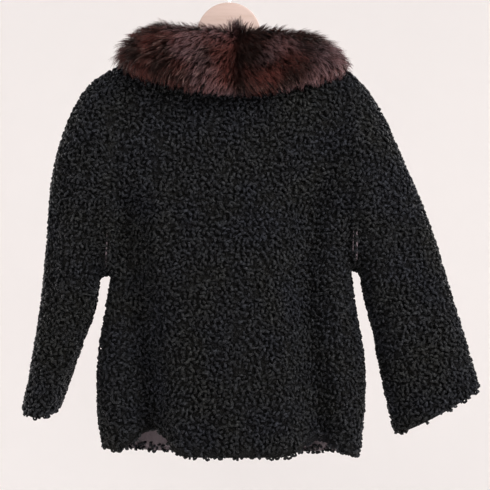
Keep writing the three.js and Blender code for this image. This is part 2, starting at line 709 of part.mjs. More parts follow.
// A round button lying on the right front where it laps over the left
function button(height) {
  const row = height * LOW_ROWS;
  const [low, high] = [Math.floor(row), Math.min(Math.floor(row) + 1, ROWS)];
  const panel = frontPanel("right", SEAM);
  const at = panel.points[low][1].clone().lerp(panel.points[high][1], row - low);
  const normal = panel.normals[low][1].clone().lerp(panel.normals[high][1], row - low).normalize();
  const profile = [[0, 0], [12.6, 0], [15, 2.4], [14.4, 5], [11.8, 6], [9.8, 4.7], [0, 4.7]];
  const disc = new THREE.LatheGeometry(
    profile.map(([r, up]) => new THREE.Vector2((r / 15) * BUTTON_RADIUS, (up / 6) * BUTTON_THICK)),
    16,
  );
  disc.applyQuaternion(new THREE.Quaternion().setFromUnitVectors(new THREE.Vector3(0, 1, 0), normal));
  at.addScaledVector(normal, SEAM + 0.2);
  disc.translate(at.x, at.y, at.z);
  return welded(disc);
}

const coat = new THREE.Group();

function add(name, geometry, look) {
  const mesh = new THREE.Mesh(geometry, new THREE.MeshStandardMaterial(look));
  mesh.name = name;
  coat.add(mesh);
}

for (const [name, geometry] of Object.entries(clothWalls())) add(name, geometry, CLOTH_LOOK);

// The lining shows behind each front, from just over the hem to the armhole
for (const side of ["left", "right"]) {
  const panel = frontPanel(side, SEAM);
  for (const part of ["points", "normals"]) {
    const first = side === "left" ? 2 : 3;
    panel[part] = panel[part].slice(0, LOW_ROWS + 1).map((line) => line.slice(first, -1));
  }
  panel.points[0].forEach((p, i) => p.lerp(panel.points[1][i], LINING_RISE));
  const from = CLOTH + SEAM;
  const geometry = gridWall(panel, from, from + LINING, false, side === "right");
  add("lining_" + side, geometry, LINING_LOOK);
}

const grown = grownWalls();
const fills = ["left", "right"].flatMap((side) => [
  bodyFill(BACK, side),
  bodyFill(FRONT, side),
  sleeveFill(side),
]);
for (const side of ["left", "right"]) {
  const roll = collarRoll(side);
  const towards = side === "left" ? 1 : -1;
  const half = new THREE.BoxGeometry(600, 900, 600);
  half.translate(NECK.back.x + towards * (300 + SEAM / 2), 0, 0);
  const kept = wasm.Manifold.intersection(roll, toManifold(welded(half)));
  const knot = wasm.Manifold.sphere(NECK_KNOT, 12).translate([NECK[side].x, 0, NECK[side].z]);
  add("collar_" + side, trimmed(kept, [...fills, ...grown, knot, hangerBoard(CLEAR)]), FUR_LOOK);
}
add("hanger_board", trimmed(hangerBoard(0), grown), WOOD_LOOK);
add("hanger_hook", hangerHook(), STEEL_LOOK);
BUTTON_ROWS.forEach((height, i) => add("button_" + (i + 1), button(height), BUTTON_LOOK));

export default coat;
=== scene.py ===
"""A short jacket of curled black pile cloth with a rolled fur collar, on a wooden hanger.

Sizes are in millimetres up to the point where a mesh is made, and meshes are in metres. +Z is
up, the garment's front faces -Y, +X is its left, and the origin is where the hook bears.
"""

import json
import logging
import math
from dataclasses import dataclass, field
from enum import Enum
from typing import Any, Callable, Dict, List, NamedTuple, Optional, Sequence, Tuple, Union

import bpy
import numpy as np
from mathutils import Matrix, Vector
from mathutils.bvhtree import BVHTree

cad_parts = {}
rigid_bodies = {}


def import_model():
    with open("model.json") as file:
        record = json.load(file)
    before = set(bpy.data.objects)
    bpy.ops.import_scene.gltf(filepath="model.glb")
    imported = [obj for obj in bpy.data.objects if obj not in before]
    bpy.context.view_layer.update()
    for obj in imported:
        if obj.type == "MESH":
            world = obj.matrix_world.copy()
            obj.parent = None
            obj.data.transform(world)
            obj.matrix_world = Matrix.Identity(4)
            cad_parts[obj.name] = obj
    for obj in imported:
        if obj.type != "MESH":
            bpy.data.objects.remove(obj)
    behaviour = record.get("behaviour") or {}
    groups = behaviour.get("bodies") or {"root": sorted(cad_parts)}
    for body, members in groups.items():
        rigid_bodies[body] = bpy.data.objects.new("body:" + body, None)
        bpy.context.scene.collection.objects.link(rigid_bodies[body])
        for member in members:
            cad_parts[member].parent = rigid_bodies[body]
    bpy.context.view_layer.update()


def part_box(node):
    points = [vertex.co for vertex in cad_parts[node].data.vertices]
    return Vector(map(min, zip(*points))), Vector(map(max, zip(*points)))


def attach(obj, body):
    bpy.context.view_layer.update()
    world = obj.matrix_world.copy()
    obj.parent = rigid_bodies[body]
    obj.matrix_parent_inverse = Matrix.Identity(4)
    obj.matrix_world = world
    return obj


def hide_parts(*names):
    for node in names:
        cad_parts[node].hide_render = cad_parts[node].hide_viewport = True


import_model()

logging.basicConfig(level=logging.INFO, format="%(message)s")
log = logging.getLogger("jacket")

MM = 0.001
Grid = np.ndarray  # rows x columns x 3, in millimetres
Colour = Tuple[float, float, float]


# Node trees


class Socket:
    """One output of a node. Arithmetic on it adds Math nodes to its tree."""

    def __init__(self, tree: "Nodes", output: bpy.types.NodeSocket) -> None:
        """Keeps the output and the tree that it is in."""
        self.tree = tree
        self.output = output

    def __add__(self, other: "Value") -> "Socket":
        """This plus a value."""
        return self.tree.math("ADD", self, other)

    def __sub__(self, other: "Value") -> "Socket":
        """This less a value."""
        return self.tree.math("SUBTRACT", self, other)

    def __rsub__(self, other: "Value") -> "Socket":
        """A value less this."""
        return self.tree.math("SUBTRACT", other, self)

    def __mul__(self, other: "Value") -> "Socket":
        """This times a value."""
        return self.tree.math("MULTIPLY", self, other)

    def __pow__(self, other: "Value") -> "Socket":
        """This to a power."""
        return self.tree.math("POWER", self, other)

    __radd__ = __add__
    __rmul__ = __mul__


Value = Union[Socket, float]


class Nodes:
    """Adds nodes to one material's or one geometry modifier's tree."""

    def __init__(self, tree: bpy.types.NodeTree) -> None:
        """Keeps the tree, which may hold nodes already."""
        self.tree = tree

    def add(
        self,
        kind: str,
        settings: Optional[Dict[str, Any]] = None,
        inputs: Optional[Dict[Union[str, int], Any]] = None,
    ) -> bpy.types.Node:
        """Adds one node.

        Args:
            kind: the node's type.
            settings: its properties, which are set first; "stops" gives a ramp's stops.
            inputs: values or Sockets for its sockets, by name or place.

        Returns:
            The node.
        """
        node = self.tree.nodes.new(kind)
        for name, value in (settings or {}).items():
            if name != "stops":
                setattr(node, name, value)
                continue
            ramp = node.color_ramp
            while len(ramp.elements) < len(value):
                ramp.elements.new(0.5)
            for element, (place, colour) in zip(ramp.elements, value):
                element.position = place
                element.color = (*colour, 1.0)
        for key, value in (inputs or {}).items():
            if isinstance(value, Socket):
                self.tree.links.new(value.output, node.inputs[key])
            else:
                node.inputs[key].default_value = value
        return node

    def get(
        self,
        kind: str,
        settings: Optional[Dict[str, Any]] = None,
        inputs: Optional[Dict[Union[str, int], Any]] = None,
        output: Union[str, int] = 0,
    ) -> Socket:
        """Adds one node as add does, and returns one of its outputs as a Socket."""
        return Socket(self, self.add(kind, settings, inputs).outputs[output])

    def math(self, operation: str, *values: Value) -> Socket:
        """Adds a Math node over numbers or Sockets and returns its result."""
        return self.get("ShaderNodeMath", {"operation": operation}, dict(enumerate(values)))

    def part(self, at: Socket, axis: str) -> Socket:
        """One of the X, Y and Z parts of a vector."""
        return self.get("ShaderNodeSeparateXYZ", None, {0: at}, axis)

    def noise(self, at: Socket, scale: float, detail: float = 2.0, rough: float = 0.5) -> Socket:
        """Adds a Noise texture at some coordinates and returns its value, about 0.3 to 0.7."""
        inputs = {"Vector": at, "Scale": scale, "Detail": detail, "Roughness": rough}
        return self.get("ShaderNodeTexNoise", None, inputs, "Fac")

    def stretched(self, at: Socket, scale: Colour) -> Socket:
        """Adds a Mapping node that scales coordinates along each axis."""
        return self.get("ShaderNodeMapping", None, {"Vector": at, "Scale": scale})

    def ramp(self, value: Socket, *stops: Tuple[float, Colour]) -> Socket:
        """Adds a Color Ramp over a value and returns its colour."""
        return self.get("ShaderNodeValToRGB", {"stops": stops}, {"Fac": value})

    def blend(self, share: Value, first: Any, second: Any, way: str = "MIX") -> Socket:
        """Adds a Mix node between two colours and returns its colour."""
        settings = {"data_type": "RGBA", "blend_type": way, "clamp_factor": True}
        return self.get("ShaderNodeMix", settings, {0: share, 6: first, 7: second}, 2)

    def bump(self, height: Socket, strength: float, distance: float) -> Socket:
        """Adds a Bump node over a height and returns its normal."""
        inputs = {"Height": height, "Strength": strength, "Distance": distance}
        return self.get("ShaderNodeBump", None, inputs)


@dataclass(frozen=True)
class Finish:
    """A surface finish. Each kind fills in its own nodes."""

    name: str

    def material(self) -> bpy.types.Material:
        """Makes the finish's material.

        Returns:
            The new material.
        """
        made = bpy.data.materials.new(self.name)
        made.use_nodes = True
        made.node_tree.nodes.clear()
        nodes = Nodes(made.node_tree)
        shader = nodes.add("ShaderNodeBsdfPrincipled", None, self.sockets(nodes))
        nodes.add("ShaderNodeOutputMaterial", None, {"Surface": Socket(nodes, shader.outputs[0])})
        return made

    def sockets(self, nodes: Nodes) -> Dict[str, Any]:
        """The shader's values and links, by socket name."""
        raise NotImplementedError

    def place(self, nodes: Nodes) -> Socket:
        """The object's own coordinates, in metres."""
        return nodes.get("ShaderNodeTexCoord", None, None, "Object")


@dataclass(frozen=True)
class PileFinish(Finish):
    """Curled wool pile, nearly black, with blue-grey and green-grey lights in it."""

    dark: Colour = (0.004, 0.004, 0.005)
    mid: Colour = (0.0105, 0.011, 0.0128)
    light: Colour = (0.027, 0.0285, 0.033)
    sheen: float = 0.05
    gloss: float = 0.16
    relief: float = 0.2
    cool: Colour = (0.84, 0.88, 1.0)
    warm: Colour = (1.0, 0.99, 0.82)

    def sockets(self, nodes: Nodes) -> Dict[str, Any]:
        """Curl by curl tone, a slow shift of tint and a fine fibre bump.

        Args:
            nodes: the tree to add to.

        Returns:
            The shader's values and links, by socket name.
        """
        at = self.place(nodes)
        curls = nodes.noise(at, 150, 3)
        tone = nodes.ramp(curls, (0.32, self.dark), (0.5, self.mid), (0.72, self.light))
        tint = nodes.ramp(nodes.noise(at, 14), (0.35, self.cool), (0.65, self.warm))
        height = nodes.noise(at, 260, 2) * self.relief + nodes.noise(at, 1500, 2) * 0.04
        return {
            "Base Color": nodes.blend(1.0, tone, tint, "MULTIPLY"),
            "Roughness": 0.45 + nodes.noise(at, 90) * 0.35,
            "Normal": nodes.bump(height, 1.0, 0.012),
            "Sheen Weight": self.sheen,
            "Sheen Roughness": 0.35,
            "Sheen Tint": (0.6, 0.66, 0.8, 1.0),
            "Specular IOR Level": self.gloss,
        }


@dataclass(frozen=True)
class FurFinish(Finish):
    """Dyed fur: nearly black at the skin, dark chestnut and red-brown along the hairs, with painted
    sheen on some tips and painted shade at the parting behind.
    """

    root: Colour = (0.003, 0.0014, 0.0012)
    dark: Colour = (0.007, 0.003, 0.0025)
    red: Colour = (0.125, 0.033, 0.027)
    # the pale mauve of the painted sheen on the hair tips
    frost: Colour = (0.19, 0.115, 0.125)
    seam_x: float = -0.016  # where the two halves of the collar meet behind
    # how far the painted shade of the parting reaches on each side of where the halves meet
    seam_reach: float = 0.009

    def sockets(self, nodes: Nodes) -> Dict[str, Any]:
        """Tone from root to tip, with patches and single hairs that differ, pale mauve painted sheen
        on the tips of some patches, and painted shade where the halves meet behind.

        Args:
            nodes: the tree to add to.

        Returns:
            The shader's values and links, by socket name.
        """
        at = self.place(nodes)
        along = nodes.get("ShaderNodeAttribute", {"attribute_name": "along"}, None, "Fac")
        patches = nodes.noise(at, 19, 3)
        hairs = nodes.noise(at, 420, 2)
        body = nodes.ramp(patches * 0.6 + hairs * 0.4, (0.43, self.dark), (0.62, self.red))
        # painted sheen: the tips of some patches are painted pale mauve, as a highlight
        sheen_patches = nodes.ramp(nodes.noise(at, 11, 1), (0.51, (0, 0, 0)), (0.66, (1, 1, 1)))
        tipped = nodes.blend(along ** 1.6 * sheen_patches, body, (*self.frost, 1.0))
        # painted shade: the fur is darkened close to where the halves meet behind, as the shade in
        # the parting
        off = (nodes.part(at, "X") - self.seam_x) * (1 / self.seam_reach)
        behind = nodes.math("MINIMUM", nodes.math("MAXIMUM", nodes.part(at, "Y") * 30, 0), 1)
        parting_shade = 1.0 - nodes.math("POWER", math.e, off * off * -1.0) * behind * 0.8
        return {
            "Base Color": nodes.blend(along ** 0.7 * parting_shade, (*self.root, 1.0), tipped),
            "Roughness": 0.3 + hairs * 0.25,
            "Specular IOR Level": 0.3,
            "Specular Tint": (1.0, 0.66, 0.6, 1.0),
        }


@dataclass(frozen=True)
class SatinFinish(Finish):
    """Mauve-brown lining satin: a fine weave, soft ripples and a smooth gloss."""

    deep: Colour = (0.085, 0.062, 0.074)
    pale: Colour = (0.160, 0.122, 0.140)

    def sockets(self, nodes: Nodes) -> Dict[str, Any]:
        """Slightly uneven colour, with the weave drawn on the cloth's own map.

        Args:
            nodes: the tree to add to.

        Returns:
            The shader's values and links, by socket name.
        """
        at = self.place(nodes)
        weave = nodes.get("ShaderNodeUVMap", {"uv_map": "Weave"})
        threads = nodes.noise(nodes.stretched(weave, (900.0, 5200.0, 1.0)), 1.0, 1)
        ripples = nodes.noise(nodes.stretched(at, (34.0, 34.0, 9.0)), 1.0, 2)
        tone = nodes.ramp(ripples * 0.7 + threads * 0.3, (0.36, self.deep), (0.64, self.pale))
        return {
            "Base Color": tone,
            "Roughness": 0.27 + threads * 0.2,
            "Normal": nodes.bump(ripples + threads * 0.03, 0.6, 0.006),
            "Sheen Weight": 0.15,
            "Specular IOR Level": 0.5,
        }


@dataclass(frozen=True)
class WoodFinish(Finish):
    """Pale beech, sanded and waxed, with a fine grain along the arms."""

    pale: Colour = (0.52, 0.395, 0.35)
    deep: Colour = (0.475, 0.35, 0.30)

    def sockets(self, nodes: Nodes) -> Dict[str, Any]:
        """Long grain with short darker flecks.

        Args:
            nodes: the tree to add to.

        Returns:
            The shader's values and links, by socket name.
        """
        at = self.place(nodes)
        grain = nodes.noise(nodes.stretched(at, (9.0, 60.0, 160.0)), 1.0, 4, 0.6)
        flecks = nodes.noise(nodes.stretched(at, (60.0, 300.0, 700.0)), 1.0, 2)
        tone = nodes.ramp(grain * 0.75 + flecks * 0.25, (0.36, self.deep), (0.56, self.pale))
        return {
            "Base Color": tone,
            "Roughness": 0.42 + flecks * 0.2,
            "Normal": nodes.bump(flecks + grain, 0.25, 0.0006),
            "Coat Weight": 0.12,
        }


@dataclass(frozen=True)
class SteelFinish(Finish):
    """Bright plated wire with faint drawing marks."""

    bright: Colour = (0.78, 0.78, 0.8)
    dull: Colour = (0.66, 0.66, 0.69)

    def sockets(self, nodes: Nodes) -> Dict[str, Any]:
        """Even metal whose roughness wanders a little.

        Args:
            nodes: the tree to add to.

        Returns:
            The shader's values and links, by socket name.
        """
        smudges = nodes.noise(self.place(nodes), 120, 3)
        return {
            "Base Color": nodes.blend(smudges, (*self.bright, 1.0), (*self.dull, 1.0)),
            "Metallic": 1.0,
            "Roughness": 0.16 + smudges * 0.2,
        }


@dataclass(frozen=True)
class HornFinish(Finish):
    """Polished black button horn with faint brown streaks."""

    black: Colour = (0.006, 0.006, 0.0065)
    streak: Colour = (0.028, 0.018, 0.013)

    def sockets(self, nodes: Nodes) -> Dict[str, Any]:
        """Streaks that run across the button.

        Args:
            nodes: the tree to add to.

        Returns:
            The shader's values and links, by socket name.
        """
        at = nodes.stretched(self.place(nodes), (420.0, 90.0, 90.0))
        streaks = nodes.noise(at, 1.0, 3)
        return {
            "Base Color": nodes.ramp(streaks, (0.5, self.black), (0.72, self.streak)),
            "Roughness": 0.16 + streaks * 0.2,
            "Coat Weight": 0.3,
        }


@dataclass(frozen=True)
class PlasterFinish(Finish):
    """The pale studio floor and wall."""

    wall: Colour = (0.945, 0.92, 0.915)
    shade: Colour = (0.931, 0.906, 0.901)
    floor: Colour = (0.76, 0.74, 0.735)
    floor_z: float = -1.62
    fade: float = 0.125  # height over which the floor's colour becomes the wall's

    def sockets(self, nodes: Nodes) -> Dict[str, Any]:
        """Nearly even colour, with a floor that reflects less of the lights above it.

        Args:
            nodes: the tree to add to.

        Returns:
            The shader's values and links, by socket name.
        """
        at = self.place(nodes)
        above = (nodes.part(at, "Z") - self.floor_z) * (1 / self.fade)
        cloudy = nodes.blend(nodes.noise(at, 0.8), (*self.wall, 1.0), (*self.shade, 1.0))
        return {
            "Base Color": nodes.blend(above, (*self.floor, 1.0), cloudy),
            "Roughness": 0.9,
            "Specular IOR Level": 0.1,
        }


PILE = PileFinish("pile_cloth")
# The cloth's black ground between the curls, painted darker than the curls as the shade in the gaps
# between them.
SHADED_GROUND = PileFinish(
    "pile_ground", (0.003, 0.003, 0.0033), (0.006, 0.006, 0.0065), (0.012, 0.0122, 0.0135),
    sheen=0.0, gloss=0.09, relief=0.6,
)
SATIN = SatinFinish("lining_satin")
FUR = FurFinish("fur")
WOOD = WoodFinish("pale_wood")
STEEL = SteelFinish("plated_wire")
HORN = HornFinish("button_horn")
MATERIALS: Dict[str, bpy.types.Material] = {}


def material_of(finish: Finish) -> bpy.types.Material:
    """The finish's material, made the first time it is asked for.

    Args:
        finish: the finish.

    Returns:
        Its material.
    """
    if finish.name not in MATERIALS:
        MATERIALS[finish.name] = finish.material()
    return MATERIALS[finish.name]


# Meshes


def mix(first: float, second: float, share: float) -> float:
    """The value at a share of the way from the first to the second."""
    return first + (second - first) * share


def smooth(share: float) -> float:
    """A share eased at both ends and held between 0 and 1."""
    held = min(max(share, 0.0), 1.0)
    return held * held * (3 - 2 * held)


def unit(vectors: np.ndarray) -> np.ndarray:
    """Vectors at length 1."""
    return vectors / np.maximum(np.linalg.norm(vectors, axis=-1, keepdims=True), 1e-9)


def table_at(rows: Sequence[Any], key: str, at: float, column: str) -> float:
    """One column of a table, eased between its rows.

    Args:
        rows: the table, sorted by its key.
        key: the name of the key column.
        at: the place along the key.
        column: the name of the column to read.

    Returns:
        The column's value there; past an end, the end row's.
    """
    keys = [getattr(row, key) for row in rows]
    values = [getattr(row, column) for row in rows]
    if keys[-1] < keys[0]:
        keys, at = [-k for k in keys], -at
    i = 1
    while i < len(rows) - 1 and keys[i] < at:
        i += 1
    share = min(max((at - keys[i - 1]) / (keys[i] - keys[i - 1]), 0.0), 1.0)
    start, end = values[i - 1], values[i]
    leave = (end - values[max(i - 2, 0)]) / 2
    arrive = (values[min(i + 1, len(rows) - 1)] - start) / 2
    s2, s3 = share * share, share ** 3
    return (
        start * (2 * s3 - 3 * s2 + 1) + leave * (s3 - 2 * s2 + share)
        + end * (3 * s2 - 2 * s3) + arrive * (s3 - s2)
    )


def finer(grid: np.ndarray, steps: int) -> np.ndarray:
    """A grid with more rows, eased through the given ones.

    Args:
        grid: rows of points.
        steps: how many rows each gap becomes.

    Returns:
        The finer grid.
    """
    padded = np.concatenate([2 * grid[:1] - grid[1:2], grid, 2 * grid[-1:] - grid[-2:-1]])
    rows = []
    for k in range(len(grid) - 1):
        a, b, c, d = padded[k : k + 4]
        for t in np.arange(steps) / steps:
            rows.append(
                0.5 * (2 * b + (c - a) * t + (2 * a - 5 * b + 4 * c - d) * t * t
                       + (3 * b - a - 3 * c + d) * t ** 3)
            )
    return np.array([*rows, grid[-1]])


def closed_curve(corners: np.ndarray, count: int) -> np.ndarray:
    """Evenly spaced points on a smooth closed curve through some corners.

    Args:
        corners: the corners, in order.
        count: how many points to give.

    Returns:
        The points, of which the first lies on the first corner.
    """
    steps = 16
    loop = finer(np.concatenate([corners[-1:], corners, corners[:2]]), steps)[steps:-steps]
    lengths = np.concatenate([[0], np.cumsum(np.linalg.norm(np.diff(loop, axis=0), axis=1))])
    at = np.linspace(0, lengths[-1], count, endpoint=False)
    return np.stack([np.interp(at, lengths, loop[:, k]) for k in range(loop.shape[1])], axis=1)


def grid_normals(grid: Grid, ring: bool) -> Grid:
    """Unit normals of a grid, by the cross of its row and column directions.

    Args:
        grid: the points.
        ring: whether each row closes on itself.

    Returns:
        A normal for each point, on the side that the grid's own faces show.
    """
    if ring:
        across = np.roll(grid, -1, axis=1) - np.roll(grid, 1, axis=1)
    else:
        across = np.gradient(grid, axis=1)
    return unit(np.cross(across, np.gradient(grid, axis=0)))


def make_mesh(
    name: str, points: np.ndarray, faces: Sequence[Sequence[int]], finish: Finish
) -> bpy.types.Object:
    """Makes a smooth mesh piece at the origin.

    Args:
        name: the piece's name.
        points: its points in millimetres.
        faces: its faces, outward by the right-hand rule.
        finish: the finish of all of it.

    Returns:
        The object, linked to the scene.
    """
    mesh = bpy.data.meshes.new(name)
    mesh.from_pydata((np.asarray(points, float) * MM).tolist(), [], [list(f) for f in faces])
    mesh.shade_smooth()
    mesh.materials.append(material_of(finish))
    made = bpy.data.objects.new(name, mesh)
    bpy.context.scene.collection.objects.link(made)
    return made


def grid_faces(rows: int, columns: int, ring: bool, start: int = 0) -> np.ndarray:
    """The quads of a grid of points that are numbered row by row.

    Args:
        rows: the number of rows.
        columns: the number of points in a row.
        ring: whether each row closes on itself.
        start: the first point's number.

    Returns:
        Four point numbers for each quad.
    """
    across = np.arange(columns if ring else columns - 1)
    j, i = np.meshgrid(np.arange(rows - 1), across, indexing="ij")
    along = (i + 1) % columns
    quads = [j * columns + i, j * columns + along, (j + 1) * columns + along, (j + 1) * columns + i]
    return np.stack(quads, axis=-1).reshape(-1, 4) + start


def write_map(mesh: bpy.types.Mesh, name: str, places: np.ndarray) -> None:
    """Writes a UV map from one place for each face corner."""
    layer = mesh.uv_layers.get(name) or mesh.uv_layers.new(name=name)
    layer.data.foreach_set("uv", np.asarray(places, np.float32).ravel())


def write_values(mesh: bpy.types.Mesh, name: str, values: np.ndarray) -> None:
    """Writes a number or a vector for each point as a named attribute.

    Args:
        mesh: the mesh to write on.
        name: the attribute's name.
        values: one row for each point.
    """
    kind, key = ("FLOAT_VECTOR", "vector") if values.ndim == 2 else ("FLOAT", "value")
    layer = mesh.attributes.new(name, kind, "POINT")
    layer.data.foreach_set(key, np.asarray(values, np.float32).ravel())


def corner_points(mesh: bpy.types.Mesh) -> np.ndarray:
    """The point number of each face corner.

    Args:
        mesh: the mesh.

    Returns:
        One number for each corner, in face order.
    """
    numbers = np.empty(len(mesh.loops), np.int32)
    mesh.loops.foreach_get("vertex_index", numbers)
    return numbers


def wall(
    name: str, outer: Grid, inner: Grid, ring: bool, flip: bool, finish: Finish, inside: Finish
) -> bpy.types.Object:
    """Makes a closed wall between two grids.

    Args:
        name: the piece's name.
        outer: the outer surface's grid.
        inner: the inner surface's grid.
        ring: whether each row closes on itself.
        flip: whether the outer grid's own faces point inwards.
        finish: the finish outside and on the rims.
        inside: the finish of the inner surface.

    Returns:
        The piece.
    """
    rows, columns = outer.shape[:2]
    count = rows * columns
    front = grid_faces(rows, columns, ring)
    back = grid_faces(rows, columns, ring, count)[:, ::-1]
    i = np.arange(columns if ring else columns - 1)
    along = (i + 1) % columns
    top = (rows - 1) * columns
    rims = [
        np.stack([i, i + count, along + count, along], axis=1),
        np.stack([top + i, top + along, top + along + count, top + i + count], axis=1),
    ]
    if not ring:
        j = np.arange(rows - 1) * columns
        rims.append(np.stack([j, j + columns, j + columns + count, j + count], axis=1))
        k = j + columns - 1
        rims.append(np.stack([k, k + count, k + columns + count, k + columns], axis=1))
    faces = np.concatenate([front, back, *rims])
    if flip:
        faces = faces[:, ::-1]
    points = np.concatenate([outer.reshape(-1, 3), inner.reshape(-1, 3)])
    made = make_mesh(name, points, faces.tolist(), finish)
    made.data.materials.append(material_of(inside))
    slots = np.zeros(len(faces), np.int32)
    slots[len(front) : len(front) + len(back)] = 1
    made.data.polygons.foreach_set("material_index", slots)
    up = np.cumsum(np.linalg.norm(np.diff(outer, axis=0, prepend=outer[:1]), axis=2), axis=0)
    over = np.cumsum(np.linalg.norm(np.diff(outer, axis=1, prepend=outer[:, :1]), axis=2), axis=1)
    places = np.stack([over, up], axis=-1).reshape(-1, 2) * MM
    write_map(made.data, "Weave", np.concatenate([places, places])[corner_points(made.data)])
    return made


def area_of(grid: Grid, ring: bool) -> float:
    """The area of a grid's surface.

    Args:
        grid: the points, in millimetres.
        ring: whether each row closes on itself.

    Returns:
        Square metres.
    """
    faces = grid_faces(*grid.shape[:2], ring)
    a, b, c, d = (grid.reshape(-1, 3)[faces[:, k]] for k in range(4))
    return float(np.linalg.norm(np.cross(c - a, d - b), axis=1).sum() / 2) * MM * MM


def finish_piece(piece: bpy.types.Object, slot: str, *nodes: str) -> bpy.types.Object:
    """Rides a piece on the garment and hides the nodes that it stands for.

    Args:
        piece: the object.
        slot: the name of its finish; not used.
        *nodes: the solids that it stands for.

    Returns:
        The piece.
    """
    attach(piece, "root")
    if nodes:
        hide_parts(*nodes)
    faces = sum(len(p.vertices) - 2 for p in piece.data.polygons)
    log.info("%s: %d triangles", piece.name, faces)
    return piece


# Small shapes set on a surface


class Scatter:
    """Sets copies of small shapes on a surface, each turned by the surface's own lean."""

    INPUTS = (
        ("Shapes", "NodeSocketCollection"),
        ("Spacing", "NodeSocketFloat"),
        ("Seed", "NodeSocketInt"),
        ("Unrest", "NodeSocketFloat"),
        ("Roll", "NodeSocketFloat"),
        ("Least", "NodeSocketFloat"),
        ("Most", "NodeSocketFloat"),
        ("Material", "NodeSocketMaterial"),
    )

    def __init__(self) -> None:
        """Makes the tree, which every scattered piece shares."""
        self.group = bpy.data.node_groups.new("Scatter", "GeometryNodeTree")
        face = self.group.interface
        face.new_socket(name="Surface", in_out="INPUT", socket_type="NodeSocketGeometry")
        face.new_socket(name="Copies", in_out="OUTPUT", socket_type="NodeSocketGeometry")
        self.identifiers = {
            name: face.new_socket(name=name, in_out="INPUT", socket_type=kind).identifier
            for name, kind in self.INPUTS
        }
        nodes = Nodes(self.group)
        given = nodes.add("NodeGroupInput")
        value = {s.name: Socket(nodes, s) for s in given.outputs if s.name}
        points = nodes.add(
            "GeometryNodeDistributePointsOnFaces",
            {"distribute_method": "POISSON"},
            {
                "Mesh": value["Surface"],
                "Distance Min": value["Spacing"],
                "Density Max": 1.2 * value["Spacing"] ** -2.0,
                "Density Factor": self._named(nodes, "cover", "FLOAT"),
                "Seed": value["Seed"],
            },
        )
        lean = self._jittered(nodes, self._named(nodes, "lean"), value["Unrest"], 1)
        roll = self._jittered(nodes, Socket(nodes, points.outputs["Normal"]), value["Roll"], 2)
        turn = nodes.get(
            "FunctionNodeAxesToRotation",
            {"primary_axis": "Z", "secondary_axis": "X"},
            {"Primary Axis": lean, "Secondary Axis": roll},
        )
        size = nodes.get(
            "FunctionNodeRandomValue",
            {"data_type": "FLOAT"},
            {2: value["Least"], 3: value["Most"], "Seed": 3},
            1,
        )
        pick = nodes.get(
            "FunctionNodeRandomValue", {"data_type": "INT"}, {4: 0, 5: 999, "Seed": 4}, 2
        )
        shapes = nodes.get(
            "GeometryNodeCollectionInfo",
            None,
            {"Collection": value["Shapes"], "Separate Children": True, "Reset Children": True},
        )
        copies = nodes.get(
            "GeometryNodeInstanceOnPoints",
            None,
            {
                "Points": Socket(nodes, points.outputs["Points"]),
                "Instance": shapes,
                "Pick Instance": True,
                "Instance Index": pick,
                "Rotation": turn,
                "Scale": size * self._named(nodes, "size", "FLOAT"),
            },
        )
        real = nodes.get("GeometryNodeRealizeInstances", None, {"Geometry": copies})
        dressed = nodes.get(
            "GeometryNodeSetMaterial", None, {"Geometry": real, "Material": value["Material"]}
        )
        nodes.add("NodeGroupOutput", None, {"Copies": dressed})

    @staticmethod
    def _named(nodes: Nodes, name: str, kind: str = "FLOAT_VECTOR") -> Socket:
        """Reads one of the surface's attributes."""
        return nodes.get("GeometryNodeInputNamedAttribute", {"data_type": kind}, {"Name": name})

    @staticmethod
    def _jittered(nodes: Nodes, vector: Socket, share: Socket, seed: int) -> Socket:
        """A vector with a random one of up to a share of its length added.

        Args:
            nodes: the tree to add to.
            vector: the vector.
            share: the most that is added along each axis.
            seed: the random values' seed.

        Returns:
            The sum.
        """
        random = nodes.get(
            "FunctionNodeRandomValue",
            {"data_type": "FLOAT_VECTOR"},
            {0: (-1.0, -1.0, -1.0), 1: (1.0, 1.0, 1.0), "Seed": seed},
        )
        scaled = nodes.get(
            "ShaderNodeVectorMath", {"operation": "SCALE"}, {"Vector": random, "Scale": share}
        )
        return nodes.get("ShaderNodeVectorMath", {"operation": "ADD"}, {0: vector, 1: scaled})

    def cover(
        self,
        name: str,
        surface: bpy.types.Object,
        shapes: bpy.types.Collection,
        finish: Finish,
        **values: float,
    ) -> bpy.types.Object:
        """Covers a surface and returns the copies as one plain mesh piece.

        Args:
            name: the new piece's name.
            surface: a mesh with point attributes cover, lean and size; it is removed.
            shapes: the small shapes, which all have the same faces.
            finish: the finish of the copies.
            **values: the tree's named inputs, in metres where they are lengths.

        Returns:
            The piece, with one cell of its bake map for each copy.
        """
        modifier = surface.modifiers.new("Scatter", "NODES")
        modifier.node_group = self.group
        values = {**values, "Shapes": shapes, "Material": material_of(finish)}
        for key, value in values.items():
            modifier[self.identifiers[key]] = value
        surface.update_tag()
        graph = bpy.context.evaluated_depsgraph_get()
        mesh = bpy.data.meshes.new_from_object(surface.evaluated_get(graph), depsgraph=graph)
        bpy.data.objects.remove(surface)
        mesh.name = name
        if not mesh.materials:
            mesh.materials.append(material_of(finish))
        self._lay_out(mesh, len(shapes.objects[0].data.loops))
        made = bpy.data.objects.new(name, mesh)
        bpy.context.scene.collection.objects.link(made)
        return made

